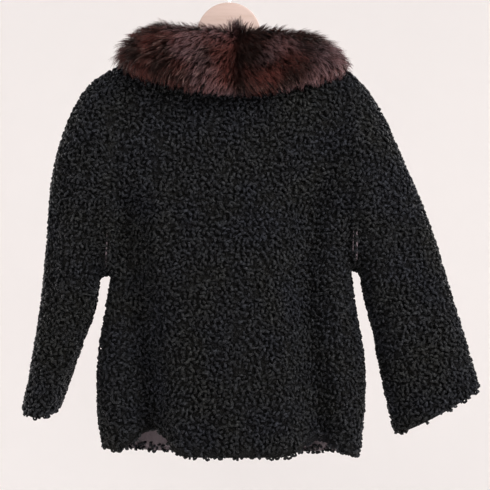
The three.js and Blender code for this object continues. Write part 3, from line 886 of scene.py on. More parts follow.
    @staticmethod
    def _lay_out(mesh: bpy.types.Mesh, corners: int) -> None:
        """Packs each copy's own little map into a cell of one square map.

        Args:
            mesh: the copies, whose face corners lie copy by copy.
            corners: the number of face corners in one copy.
        """
        margin = 0.1
        local = np.empty(len(mesh.loops) * 2, np.float32)
        mesh.uv_layers["Local"].data.foreach_get("uv", local)
        copy = np.arange(len(mesh.loops)) // corners
        side = math.ceil(math.sqrt(copy[-1] + 1))
        cell = np.stack([copy % side, copy // side], axis=1)
        within = margin + (1 - 2 * margin) * local.reshape(-1, 2)
        write_map(mesh, "OFBake", (cell + within) / side)
        mesh.uv_layers.remove(mesh.uv_layers["Local"])


def shape_collection(name: str, meshes: Sequence[bpy.types.Mesh]) -> bpy.types.Collection:
    """Puts small meshes in a collection that isn't part of the scene.

    Args:
        name: the collection's name, and the start of each object's.
        meshes: the small meshes.

    Returns:
        The collection.
    """
    made = bpy.data.collections.new(name)
    for i, mesh in enumerate(meshes):
        made.objects.link(bpy.data.objects.new(f"{name}_{i}", mesh))
    return made


def strip_mesh(
    name: str, strips: Sequence[np.ndarray], ring: bool, along: np.ndarray
) -> bpy.types.Mesh:
    """A mesh of one or more tubes or ribbons.

    Args:
        name: the mesh's name.
        strips: a grid of points in millimetres for each tube or ribbon.
        ring: whether each row closes on itself, as in a tube.
        along: for each row, how far along it is, from 0 to 1.

    Returns:
        The mesh, with a map named Local and an attribute named along.
    """
    faces, places = [], []
    rows, columns = strips[0].shape[:2]
    for k in range(len(strips)):
        faces += grid_faces(rows, columns, ring, k * rows * columns).tolist()
        u = (np.arange(columns) / columns + k) / len(strips)
        places.append(np.stack(np.meshgrid(u, along), axis=-1).reshape(-1, 2))
    mesh = bpy.data.meshes.new(name)
    points = np.concatenate([s.reshape(-1, 3) for s in strips]) * MM
    mesh.from_pydata(points.tolist(), [], faces)
    mesh.shade_smooth()
    write_map(mesh, "Local", np.concatenate(places)[corner_points(mesh)])
    write_values(mesh, "along", np.tile(np.repeat(along, columns), len(strips)))
    return mesh


# The garment's form


class Face(Enum):
    """A face of the garment, as the sign of its Y."""

    BACK = 1
    FRONT = -1


class Side(Enum):
    """A side of the wearer, as the sign of its X."""

    LEFT = 1
    RIGHT = -1

    @property
    def word(self) -> str:
        """The side's name in lower case."""
        return self.name.lower()


class Depth(NamedTuple):
    """Depth of the body from the hanger's plane, on its middle line."""

    z: float
    back: float
    front: float


class Width(NamedTuple):
    """Half width of the body on each side of its middle line."""

    z: float
    left: float
    right: float


class FoldRow(NamedTuple):
    """A place down a fold's trough, with its depth and its width on either side."""

    z: float
    x: float
    deep: float
    inner: float
    outer: float


class Fold(NamedTuple):
    """A big fold, and how far the hem is lifted where its trough reaches it."""

    face: Face
    lift: float
    path: Tuple[FoldRow, ...]


class Armhole(NamedTuple):
    """An armhole, from the tip of the shoulder to the underarm."""

    tip: Tuple[float, float]
    under: Tuple[float, float]
    bow: float
    deep: float


class Neck(NamedTuple):
    """Where the neckline meets a middle line: its place."""

    x: float
    y: float
    z: float


class Section(NamedTuple):
    """A sleeve's section: outer and inner point, centre's depth, half depth, drop, trough."""

    outer: Tuple[float, float]
    inner: Tuple[float, float]
    y: float
    deep: float
    drop: float
    trough: float


class Crease(NamedTuple):
    """A small soft trough between two places of a surface."""

    start: Tuple[float, float, float]
    end: Tuple[float, float, float]
    deep: float
    wide: float


def creased(grid: Grid, normals: Grid, creases: Sequence[Crease]) -> Grid:
    """A grid pushed in along its normals by small creases.

    Args:
        grid: the surface's points.
        normals: its outward normals.
        creases: the creases; a negative depth is a ridge.

    Returns:
        The new points.
    """
    made = grid.copy()
    for crease in creases:
        start, end = np.array(crease.start, float), np.array(crease.end, float)
        line = end - start
        share = np.clip(((grid - start) @ line) / (line @ line), 0, 1)
        off = np.linalg.norm(grid - start - share[..., None] * line, axis=-1)
        fade = np.sin(np.pi * np.clip(share * 0.9 + 0.05, 0, 1)) ** 0.5
        push = crease.deep * fade * np.exp(-((off / crease.wide) ** 2))
        made -= normals * push[..., None]
    return made


@dataclass
class BodyForm:
    """The outer surface of the body, as rows from the hem up to the shoulder."""

    low_rows: int = 9
    high_rows: int = 12
    low_steps: int = 6  # rows of a fine grid for each row
    high_steps: int = 4
    neck_share: float = 0.45
    side_rounding: float = 2.5
    hole_rounding: float = 2.2
    middle: float = -3.0
    under_z: float = -466.0
    hem_up: float = 0.22  # rows that the cloth ends above the hem, to make room for its curls
    hem_back: Tuple[float, float, float] = (-737.0, -728.0, -746.0)  # middle, left, right
    hem_front: Tuple[float, float, float] = (-752.0, -731.0, -747.0)
    neck_back: Neck = Neck(-11, 42, -150)
    neck_front: Neck = Neck(-11, 66, -214)
    corners: Tuple[Tuple[float, float], ...] = ((75, -127), (-97, -138))  # left, right
    depths: Tuple[Depth, ...] = (
        Depth(-770, 92, 102),
        Depth(-650, 92, 100),
        Depth(-560, 88, 96),
        Depth(-466, 82, 90),
        Depth(-350, 72, 82),
        Depth(-250, 60, 70),
        Depth(-200, 52, 60),
        Depth(-120, 40, 44),
    )
    widths: Tuple[Width, ...] = (
        Width(-770, 190, 190),
        Width(-735, 194, 193),
        Width(-650, 201, 200),
        Width(-590, 199, 198),
        Width(-530, 190, 188),
        Width(-470, 181, 180),
    )
    armhole_left: Armhole = Armhole((140, -153), (178, -470), 6, 56)
    armhole_right: Armhole = Armhole((-160, -163), (-183, -462), 8, 56)
    hole_deeper_in_front: float = 2.0
    folds: Tuple[Fold, ...] = (
        Fold(Face.BACK, 33, (
            FoldRow(-290, 163, 0, 26, 22),
            FoldRow(-360, 152, 12, 27, 26),
            FoldRow(-450, 138, 26, 27, 30),
            FoldRow(-580, 121, 38, 24, 34),
            FoldRow(-700, 108, 45, 22, 36),
        )),
        Fold(Face.BACK, 18, (
            FoldRow(-225, -166, 0, 24, 22),
            FoldRow(-300, -146, 13, 28, 24),
            FoldRow(-390, -122, 27, 30, 26),
            FoldRow(-480, -112, 35, 28, 28),
            FoldRow(-580, -120, 38, 27, 30),
            FoldRow(-700, -129, 41, 26, 30),
        )),
        Fold(Face.FRONT, 1, (
            FoldRow(-300, 120, 0, 26, 26),
            FoldRow(-440, 112, 10, 30, 30),
            FoldRow(-600, 106, 20, 32, 32),
            FoldRow(-745, 104, 26, 34, 34),
        )),
        Fold(Face.FRONT, 1, (
            FoldRow(-280, -128, 0, 26, 26),
            FoldRow(-420, -118, 11, 30, 30),
            FoldRow(-600, -112, 22, 32, 32),
            FoldRow(-745, -108, 28, 34, 34),
        )),
    )

    @property
    def rows(self) -> int:
        """The number of the shoulder's row."""
        return self.low_rows + self.high_rows

    @property
    def fine_low_rows(self) -> int:
        """How many rows of a fine grid lie below the underarm."""
        return self.low_rows * self.low_steps

    def hole(self, side: Side) -> Armhole:
        """The armhole on one side."""
        return self.armhole_left if side is Side.LEFT else self.armhole_right

    def across(self, a: float) -> float:
        """How far out a share of the half section lies, from 0 to 1."""
        return math.sin(a * math.pi / 2) ** (2 / self.side_rounding)

    def inward(self, a: float) -> float:
        """How deep a share of the half section lies, from 1 to 0."""
        return max(math.cos(a * math.pi / 2), 0.0) ** (2 / self.side_rounding)

    def trough(self, fold: Fold, x: float, z: float) -> Tuple[float, float]:
        """How deep a fold is at a place.

        Args:
            fold: the fold.
            x: the place's X.
            z: its height.

        Returns:
            The depth there, and its share of the trough's full depth.
        """
        top = fold.path[0]
        if z > top.z:
            return 0.0, 0.0
        off = x - table_at(fold.path, "z", z, "x")
        wide = table_at(fold.path, "z", z, "inner" if off * top.x < 0 else "outer")
        shape = math.exp(-((off / wide) ** 2))
        return table_at(fold.path, "z", z, "deep") * shape, shape

    def top(self, face: Face, side: Side, a: float) -> Tuple[float, float, float]:
        """A point of the top line: the neck first, then the shoulder.

        Args:
            face: the back or the front.
            side: the wearer's side.
            a: from 0 on the middle line to 1 at the shoulder's tip.

        Returns:
            Its place, with Y as a depth from the hanger's plane.
        """
        middle = self.neck_back if face is Face.BACK else self.neck_front
        corner = self.corners[0 if side is Side.LEFT else 1]
        if a < self.neck_share:
            t = a / self.neck_share
            turn = t * math.pi / 2
            round_ = 2.4 if face is Face.BACK else 1.8
            fall = t ** 2 if face is Face.BACK else 1 - math.cos(turn) ** 0.9
            return (
                mix(middle.x, corner[0], math.sin(turn)),
                middle.y * (1 - t ** round_),
                mix(middle.z, corner[1], fall),
            )
        t = (a - self.neck_share) / (1 - self.neck_share)
        tip = self.hole(side).tip
        return mix(corner[0], tip[0], t), 0.0, mix(corner[1], tip[1], t ** 1.08)

    def hem(self, face: Face, side: Side, a: float, x: float) -> float:
        """The height of the hem.

        Args:
            face: the back or the front.
            side: the wearer's side.
            a: from 0 on the middle line to 1 at the side seam.
            x: the place's X, which tells how near the folds are.

        Returns:
            Its Z.
        """
        middle, left, right = self.hem_back if face is Face.BACK else self.hem_front
        z = mix(middle, left if side is Side.LEFT else right, a ** 2.4)
        for fold in self.folds:
            if fold.face is face:
                z += fold.lift * self.trough(fold, x, z)[1]
        return z

    def point(self, face: Face, side: Side, a: float, row: float) -> Tuple[float, float, float]:
        """A point of the surface.

        Args:
            face: the back or the front.
            side: the wearer's side.
            a: from 0 on the middle line to 1 at the side seam or armhole.
            row: from 0 at the hem, past low_rows at the underarm, to rows at the shoulder.

        Returns:
            Its place in millimetres.
        """
        hole, out = self.hole(side), side.value
        which = "back" if face is Face.BACK else "front"
        under_x, under_z = hole.under

        def width(z: float) -> float:
            """Half width at a height."""
            return table_at(self.widths, "z", min(z, under_z), side.word)

        low_z = mix(self.under_z, under_z, a ** 2)
        if row <= self.low_rows:
            middle_hem = self.hem_back[0]
            foot = self.hem(face, side, a, self.middle + out * width(middle_hem) * self.across(a))
            z = mix(foot, low_z, row / self.low_rows)
            x = self.middle + out * width(z) * self.across(a)
            y = table_at(self.depths, "z", z, which) * self.inward(a)
        else:
            turn = (row - self.low_rows) / self.high_rows * math.pi
            cos = math.cos(turn)
            lean = -math.copysign(abs(cos) ** (2 / self.hole_rounding), cos)
            open_ = max(math.sin(turn), 0.0) ** (2 / self.hole_rounding)
            up = (1 + lean) / 2
            top = self.top(face, side, a)
            bow = out * hole.bow * (1 - lean * lean)
            x = mix(self.middle + out * width(under_z) * self.across(a), top[0], up) + a ** 4 * bow
            z = mix(low_z, top[2], up)
            hole_deep = hole.deep + (self.hole_deeper_in_front if face is Face.FRONT else 0)
            full = mix(table_at(self.depths, "z", z, which), hole_deep, a * a * smooth(up / 0.35))
            widening = mix(smooth(up / 0.5), open_, a ** 6)
            low_half = turn < math.pi / 2
            opened = mix(self.inward(a), 1, widening) if low_half else 1
            closed = 1 if low_half else mix(top[1] / full, 1, open_)
            y = full * opened * closed
        for fold in self.folds:
            if fold.face is face:
                y -= self.trough(fold, x, z)[0] * smooth((1 - a) * 3.5)
        return x, y * face.value, z

    def edge_normal(self, face: Face, side: Side, row: float) -> np.ndarray:
        """The outward normal at the side seam or armhole, held in the seam's plane.

        Args:
            face: the back or the front.
            side: the wearer's side.
            row: the row, as point takes it.

        Returns:
            The unit normal.
        """
        if row < self.low_rows:
            return np.array([float(side.value), 0, 0])
        if row <= self.low_rows:
            return unit(np.array([side.value * 0.45, 0, -0.9]))
        high, low = min(row + 0.4, self.rows), max(row - 0.4, self.low_rows)
        along = np.subtract(self.point(face, side, 1, high), self.point(face, side, 1, low))
        if row >= self.rows:
            along[2] = 0
        return unit(np.array([0, along[2] * face.value, -along[1] * face.value]))

    def seam_points(self) -> np.ndarray:
        """Points along the side seams and the armholes."""
        rows = np.arange(0, self.rows + 0.1, 0.4)
        return np.array([self.point(f, s, 1, row) for f in Face for s in Side for row in rows])

    def shares(self, count: int) -> np.ndarray:
        """Shares of a half's width, with one where the neck meets the shoulder.

        Args:
            count: how many steps they make.

        Returns:
            The shares, from 0 to 1.
        """
        made = (np.arange(count + 1) / count) ** 1.25
        made[np.argmin(np.abs(made - self.neck_share))] = self.neck_share
        return made

    def fine_rows(self) -> np.ndarray:
        """The rows of a fine grid.

        Returns:
            Row numbers from the hem to the shoulder, with parts of a row between.
        """
        low = np.linspace(self.hem_up, self.low_rows, self.fine_low_rows, endpoint=False)
        high = np.linspace(self.low_rows, self.rows, self.high_rows * self.high_steps + 1)
        return np.concatenate([low, high])

    def half(
        self, face: Face, side: Side, shares: np.ndarray, seam: float
    ) -> Tuple[Grid, Grid]:
        """A half panel's surface points and outward normals.

        Args:
            face: the back or the front.
            side: the wearer's side.
            shares: the columns; one below zero lies on the other half.
            seam: how far the edges stay back from the seams.

        Returns:
            The points and the normals.
        """
        other = Side.RIGHT if side is Side.LEFT else Side.LEFT
        rows = self.fine_rows()
        grid = np.array([
            [self.point(face, other if a < 0 else side, abs(a), row) for a in shares] for row in rows
        ])
        normals = grid_normals(grid, False) * -side.value * face.value
        last = len(shares) - 1
        shoulder = [i for i, a in enumerate(shares) if a >= self.neck_share]
        normals[-1, shoulder, 1] = 0
        for j, row in enumerate(rows):
            normals[j, last] = self.edge_normal(face, side, row)
            if row <= self.low_rows:
                grid[j, last, 1] += face.value * seam
            if row >= self.low_rows:
                grid[j, last, 0] -= side.value * seam
        grid[-1, shoulder, 1] += face.value * seam
        return grid, unit(normals)


@dataclass
class SleeveForm:
    """A sleeve's outer surface, as rings from the armhole to the cuff."""

    body: BodyForm
    side: Side
    around: int = 120
    rounding: float = 2.2
    trough_at: float = math.pi * 0.36
    trough_wide: float = 0.42

    LEFT = (
        Section((159, -156), (194, -475), 0, 61, 0, 0),
        Section((193, -172), (197, -489), -1, 61, 0, 0),
        Section((219, -197), (199, -502), -2, 62, 1, 2),
        Section((241, -238), (201, -516), -4, 63, 2, 6),
        Section((258, -287), (205, -531), -7, 65, 3, 12),
        Section((268, -337), (211, -546), -11, 67, 4, 17),
        Section((272, -385), (218, -562), -16, 69, 6, 19),
        Section((276, -433), (224, -579), -21, 71, 7, 18),
        Section((281, -479), (231, -597), -26, 72, 8, 14),
        Section((287, -526), (238, -614), -31, 73, 9, 9),
        Section((295, -571), (244, -632), -35, 74, 10, 5),
        Section((304, -620), (250, -648), -39, 75, 11, 3),
        Section((315, -670), (260, -674), -42, 75, 12, 2),
    )
    RIGHT = (
        Section((-178, -166), (-195, -469), 0, 60, 0, 0),
        Section((-196, -181), (-198, -484), 0, 59, 0, 0),
        Section((-215, -206), (-201, -498), 1, 58, 0, 0),
        Section((-236, -243), (-204, -513), 1, 57, 0, 2),
        Section((-257, -292), (-208, -528), 2, 56, 0, 4),
        Section((-279, -342), (-212, -545), 2, 54, 1, 5),
        Section((-297, -388), (-217, -565), 3, 52, 1, 5),
        Section((-313, -435), (-220, -586), 3, 50, 1, 4),
        Section((-327, -482), (-225, -610), 4, 48, 2, 3),
        Section((-341, -528), (-229, -633), 4, 46, 2, 3),
        Section((-354, -571), (-235, -658), 5, 45, 3, 2),
        Section((-365, -607), (-240, -681), 5, 44, 3, 2),
        Section((-375, -639), (-247, -707), 5, 43, 3, 2),
    )

    def surface(self, seam: float) -> Tuple[Grid, Grid]:
        """The sleeve's points and outward normals.

        Args:
            seam: how far the head stays back from the armhole seam.

        Returns:
            The points and the normals, ring by ring from the armhole.
        """
        body, out = self.body, self.side.value
        shares = np.arange(self.around) / self.around
        places = [
            (Face.BACK, body.rows - body.high_rows * 2 * t) if t < 0.5
            else (Face.FRONT, body.low_rows + body.high_rows * (2 * t - 1))
            for t in shares
        ]
        head = np.array([body.point(face, self.side, 1, row) for face, row in places])
        head[:, 0] += out * seam
        rings = [head]
        turn = shares * 2 * math.pi
        power = 2 / self.rounding
        along = np.sign(np.cos(turn)) * np.abs(np.cos(turn)) ** power
        deep = np.sign(np.sin(turn)) * np.abs(np.sin(turn)) ** power
        for section in self.LEFT if self.side is Side.LEFT else self.RIGHT:
            outer = np.array([section.outer[0], section.y, section.outer[1]], float)
            inner = np.array([section.inner[0], section.y, section.inner[1]], float)
            dent = section.trough * np.exp(-(((turn - self.trough_at) / self.trough_wide) ** 2))
            ring = (outer + inner) / 2 + along[:, None] * (outer - inner) / 2
            ring[:, 1] += section.deep * deep - dent
            ring[:, 2] -= section.drop * deep
            rings.append(ring)
        grid = finer(np.array(rings), 6)
        grid[-1] = (grid[-1] + grid[-2]) / 2  # the curls reach on to the cuff's edge
        normals = grid_normals(grid, True) * -out
        for i, (face, row) in enumerate(places):
            above = row > body.low_rows
            normals[0, i] = body.edge_normal(face, self.side, row) if above else (0, 0, -1)
        return grid, unit(normals)


# The garment's pieces


@dataclass
class PileCloth:
    """The curled pile cloth: its wall, and the curls that stand on it."""

    ANY_WAY = 40.0  # a roll so large that copies turn any way round

    seams: np.ndarray  # points along the seams, where the curls are thinner
    seam_reach: float = 5.5
    backing: float = 3.4  # below the cloth's outer surface
    thick: float = 5.8  # from the outer surface to the lining side
    facing: float = 14.0  # how far the pile turns in over an edge
    seam_thinning: float = 0.6
    least_size: float = 0.55  # of a curl where the cloth is hardly covered
    spacing: float = 4.6
    unrest: float = 0.5
    sizes: Tuple[float, float] = (0.85, 1.3)
    seed: int = 11
    kinds: int = 5  # of curl
    girth: Tuple[float, ...] = (1.3, 1.7, 1.95, 1.95, 1.8, 1.3)  # of the yarn along a curl
    sides: int = 3  # of the yarn's section

    def __post_init__(self) -> None:
        """Makes the curls that every panel shares."""
        self.curls = shape_collection("curl", [self._curl(k) for k in range(self.kinds)])

    def _curl(self, k: int) -> bpy.types.Mesh:
        """A short loop of thick yarn, some 5 mm across.

        Args:
            k: the number of the shape, which seeds its wander.

        Returns:
            The mesh, standing on Z.
        """
        rng = np.random.default_rng(100 + k)
        count = len(self.girth)
        turns = np.linspace(-0.5, 4.5 + rng.uniform(-0.4, 0.5), count)
        wide, tall = rng.uniform(2.1, 2.8), rng.uniform(1.5, 2.1)
        path = np.stack([
            wide * np.cos(turns),
            np.linspace(-1.6, 1.6, count) + rng.normal(0, 0.3, count),
            1.5 + tall * np.sin(turns) * np.linspace(1.0, 0.75, count),
        ], axis=1)
        path[0, 2], path[-1, 2] = -0.8, min(path[-1, 2], 0.2)
        along = unit(np.gradient(path, axis=0))
        side = unit(np.cross(along, [0.2, 1.0, 0.1]))
        other = np.cross(along, side)
        turn = np.arange(self.sides)[None, :, None] / self.sides * 2 * math.pi
        girth = np.array(self.girth)[:, None, None]
        offset = np.cos(turn) * side[:, None] + np.sin(turn) * other[:, None]
        return strip_mesh("curl", [path[:, None] + offset * girth], True, np.linspace(0, 1, count))

    def panel(
        self,
        scatter: Scatter,
        name: str,
        grid: Grid,
        normals: Grid,
        ring: bool,
        flip: bool,
        edges: Tuple[bool, bool, bool],
        flat: Tuple[float, float],
        keep: Optional[Callable[[np.ndarray], np.ndarray]] = None,
        parts: Sequence[Tuple[str, Callable[[np.ndarray], np.ndarray]]] = (),
    ) -> bpy.types.Object:
        """Builds one panel: a closed wall with its curls, declared as a sheet.

        Args:
            scatter: sets the curls.
            name: the panel's node.
            grid: its outer surface.
            normals: the surface's outward normals.
            ring: whether its rows close on themselves.
            flip: whether the grid's own faces point inwards.
            edges: whether the first row, the last row and the first column are free edges.
            flat: the width and length that it was cut from, in metres; not used.
            keep: gives how well each point is covered, from 0 to 1.
            parts: name endings and point tests that split the curls into pieces.

        Returns:
            The wall.
        """
        outer = grid - normals * self.backing
        inner = grid - normals * self.thick
        # the wall's outer face is the black ground, painted darker as the shade between the curls
        made = wall(name + "_cloth", outer, inner, ring, flip, SHADED_GROUND, SATIN)
        pieces = []
        for ending, test in parts or [("", lambda points: np.ones(len(points)))]:
            surface = self._emitter(outer, inner, ring, flip, edges, keep, test)
            pieces.append(scatter.cover(
                name + "_curls" + ending, surface, self.curls, PILE,
                Spacing=self.spacing * MM, Seed=self.seed + len(name) + len(pieces),
                Unrest=self.unrest, Roll=self.ANY_WAY, Least=self.sizes[0], Most=self.sizes[1],
            ))
            finish_piece(pieces[-1], "pile_cloth")
        finish_piece(made, "pile_cloth", name)
        area = area_of(grid, ring)
        return made

    def _emitter(
        self,
        outer: Grid,
        inner: Grid,
        ring: bool,
        flip: bool,
        edges: Tuple[bool, bool, bool],
        keep: Optional[Callable[[np.ndarray], np.ndarray]],
        test: Callable[[np.ndarray], np.ndarray],
    ) -> bpy.types.Object:
        """The surface that curls stand on, turned in over each free edge.

        Args:
            outer: the wall's outer surface.
            inner: its inner surface.
            ring: whether the rows close on themselves.
            flip: whether the grid's own faces point inwards.
            edges: whether the first row, the last row and the first column are free edges.
            keep: gives how well each point is covered, from 0 to 1.
            test: tells which points belong to this piece.

        Returns:
            The surface, with the attributes that the scatter reads.
        """
        step = np.linalg.norm(outer[1] - outer[0], axis=-1).mean()
        turned = max(int(self.facing / step), 1)
        grid = outer
        if edges[0]:
            grid = np.concatenate([inner[turned::-1], grid])
        if edges[1]:
            grid = np.concatenate([grid, inner[: -turned - 2 : -1]])
        if edges[2]:
            side = inner[:, 1::-1]
            if edges[0]:
                side = np.concatenate([side[turned::-1], side])
            grid = np.concatenate([side, grid], axis=1)
        faces = grid_faces(*grid.shape[:2], ring)
        points = grid.reshape(-1, 3)
        made = make_mesh("emitter", points, (faces[:, ::-1] if flip else faces).tolist(), PILE)
        lean = np.empty(len(points) * 3, np.float32)
        made.data.vertices.foreach_get("normal", lean)
        near = np.linalg.norm(points[:, None] - self.seams[None], axis=2).min(axis=1)
        full = 1 - self.seam_thinning * np.exp(-((near / self.seam_reach) ** 2))
        if keep:
            full = full * keep(points)
        write_values(made.data, "lean", lean.reshape(-1, 3))
        write_values(made.data, "cover", test(points) * full)
        write_values(made.data, "size", self.least_size + (1 - self.least_size) * full)
        return made


@dataclass
class Jacket:
    """The body and the sleeves: back, two fronts, two sleeves and the fronts' lining."""

    body: BodyForm
    cloth: PileCloth
    scatter: Scatter
    seam: float = -0.8  # below zero, the cloth runs past its seams into the allowance
    back_columns: int = 56
    front_columns: int = 42
    lap_columns: int = 7
    lap: float = 6.6
    lining_thick: float = 1.0
    lining_gap: float = 0.3
    lining_column: Tuple[int, int] = (10, 12)  # where it starts: left, right
    back_flat: Tuple[float, float] = (0.56, 0.66)  # sides of the cut rectangle, in metres
    front_flat: Tuple[float, float] = (0.34, 0.66)
    sleeve_flat: Tuple[float, float] = (0.62, 0.44)  # the longer side runs down the sleeve
    lining_flat: Tuple[float, float] = (0.24, 0.31)
    groove_wide: float = 3.5
    groove_bare: float = 0.8
    creases: Tuple[Crease, ...] = (
        Crease((-6, 98, -690), (-14, 92, -430), -4, 34),
        Crease((48, 96, -730), (40, 88, -560), 3, 16),
        Crease((-48, 96, -736), (-52, 90, -600), 3, 15),
        Crease((60, 70, -330), (96, 60, -420), 3, 22),
        Crease((-70, 75, -300), (-96, 60, -390), 3, 20),
        Crease((-183, 40, -640), (-150, 70, -500), 4, 18),
        Crease((186, 40, -600), (160, 65, -480), 3, 18),
        Crease((-60, -100, -740), (-52, -95, -560), 4, 20),
        Crease((56, -100, -735), (60, -92, -580), 4, 20),
        Crease((-210, 20, -470), (-262, 50, -420), 5, 14),
        Crease((-205, 30, -440), (-236, 55, -380), 4, 12),
        Crease((-300, 45, -600), (-268, 48, -470), 4, 20),
        Crease((-330, 44, -610), (-312, 46, -520), -3, 18),
        Crease((205, 30, -500), (236, 60, -440), 5, 14),
        Crease((262, 30, -610), (256, 40, -520), 4, 14),
        Crease((-215, -30, -480), (-260, -52, -430), 5, 15),
        Crease((205, -50, -510), (245, -75, -450), 5, 15),
    )
    grooves: Tuple[Tuple[Tuple[float, float], ...], ...] = (
        ((98, -265), (110, -275), (106, -300), (104, -330)),
        ((-142, -250), (-137, -305), (-127, -320), (-118, -340)),
    )
    lap_line: Grid = field(init=False)  # the lap's middle line, from the hem up
    lap_normals: Grid = field(init=False)

    def build(self) -> List[bpy.types.Object]:
        """Builds every panel.

        Returns:
            The walls: back, fronts and sleeves.
        """
        made = [self._back()]
        for side in Side:
            made.append(self._front(side))
            made.append(self._sleeve(side))
        return made

    def _back(self) -> bpy.types.Object:
        """The back, in one piece from side seam to side seam.

        Returns:
            Its wall.
        """
        shares = self.body.shares(self.back_columns)
        left, left_n = self.body.half(Face.BACK, Side.LEFT, shares, self.seam)
        right, right_n = self.body.half(Face.BACK, Side.RIGHT, shares, self.seam)
        grid = np.concatenate([right[:, :0:-1], left], axis=1)
        normals = np.concatenate([right_n[:, :0:-1], left_n], axis=1)
        middle = self.back_columns
        normals[:, middle] = unit(normals[:, middle - 1] + normals[:, middle + 1])
        grid = creased(grid, normals, self.creases)
        split = self.body.neck_back.x
        halves = [
            ("_left", lambda points: (points[:, 0] > split).astype(float)),
            ("_right", lambda points: (points[:, 0] <= split).astype(float)),
        ]
        return self.cloth.panel(
            self.scatter, "back", grid, normals, False, True, (True, False, False),
            self.back_flat, self._grooved, halves,
        )

    def _grooved(self, points: np.ndarray) -> np.ndarray:
        """How well the back is covered: less along its grooves.

        Args:
            points: places on the back.

        Returns:
            A share from 0 to 1 for each.
        """
        cover = np.ones(len(points))
        for line in self.grooves:
            for start, end in zip(line, line[1:]):
                start, end = np.array(start, float), np.array(end, float)
                step = end - start
                flat = points[:, [0, 2]]
                share = np.clip(((flat - start) @ step) / (step @ step), 0, 1)
                off = np.linalg.norm(flat - start - share[:, None] * step, axis=1)
                bare = self.groove_bare * np.exp(-((off / self.groove_wide) ** 2))
                cover = np.minimum(cover, 1 - bare)
        return cover

    def _front(self, side: Side) -> bpy.types.Object:
        """One front; the right one laps over the left one.

        Args:
            side: the wearer's side.

        Returns:
            Its wall.
        """
        shares = self.body.shares(self.front_columns)
        first, second, third = self.body.shares(14)[1:4]
        lap = np.linspace(-first, first, self.lap_columns)
        shares = np.concatenate([lap, shares[shares > first * 1.05]])
        grid, normals = self.body.half(Face.FRONT, side, shares, self.seam)
        if side is Side.RIGHT:
            lift = np.interp(shares, [first, second, third], [1, 0.3, 0]) * self.lap
            grid = grid + normals * lift[None, :, None]
        grid = creased(grid, normals, self.creases)
        flip = side is Side.RIGHT
        from_inside = self.cloth.thick + self.lining_gap
        column = self.lining_column[0 if side is Side.LEFT else 1]
        lined = slice(1, self.body.fine_low_rows + 1), slice(column, -4)
        lining = grid[lined] - normals[lined] * from_inside
        behind = grid[lined] - normals[lined] * (from_inside + self.lining_thick)
        self._lining(side, lining, behind, flip)

        def keep(points: np.ndarray) -> np.ndarray:
            """Leaves bare what lies under the lap."""
            under = points[:, 0] < -14 if side is Side.LEFT else points[:, 0] > 60
            return 1.0 - under

        if side is Side.RIGHT:
            middle = self.lap_columns // 2
            self.lap_line, self.lap_normals = grid[:, middle], normals[:, middle]
        return self.cloth.panel(
            self.scatter, "front_" + side.word, grid, normals, False, flip, (True, False, False),
            self.front_flat, keep,
        )

    def _lining(self, side: Side, outer: Grid, inner: Grid, flip: bool) -> None:
        """A front's lining, with soft ripples where it hangs free.

        Args:
            side: the wearer's side.
            outer: the surface next to the cloth.
            inner: the surface next to the wearer.
            flip: whether the grid's own faces point inwards.
        """
        name = "lining_" + side.word
        ripple = np.sin(outer[..., 0] / 9.0 + np.sin(outer[..., 2] / 60.0) * 1.4)
        inward = unit(inner - outer)
        push = inward * (0.6 * (1 + ripple))[..., None]
        piece = wall(name + "_satin", outer + push, inner + push, False, flip, SATIN, SATIN)
        finish_piece(piece, "lining", name)
        flat = self.lining_flat
        min(area_of(outer, False), flat[0] * flat[1])

    def _sleeve(self, side: Side) -> bpy.types.Object:
        """One sleeve, a tube from the armhole to the open cuff.

        Args:
            side: the wearer's side.

        Returns:
            Its wall.
        """
        grid, normals = SleeveForm(self.body, side).surface(self.seam)
        grid = creased(grid, normals, self.creases)
        return self.cloth.panel(
            self.scatter, "sleeve_" + side.word, grid, normals, True, side is Side.LEFT,
            (False, True, False), self.sleeve_flat,
        )


class CollarRow(NamedTuple):
    """The collar's section at a share of the way from the middle of the back to the front."""

    share: float
    rise: float
    reach: float
    fall: float


class SectionCorner(NamedTuple):
    """A corner of the section: out as a share of the reach plus millimetres, and up."""

    out: float
    plus: float
    up: float


class Core(NamedTuple):
    """One half's core: its rings, the way the fur lies, and how thick and long it is."""

    grid: Grid
    lean: Grid
    cover: np.ndarray
    size: np.ndarray


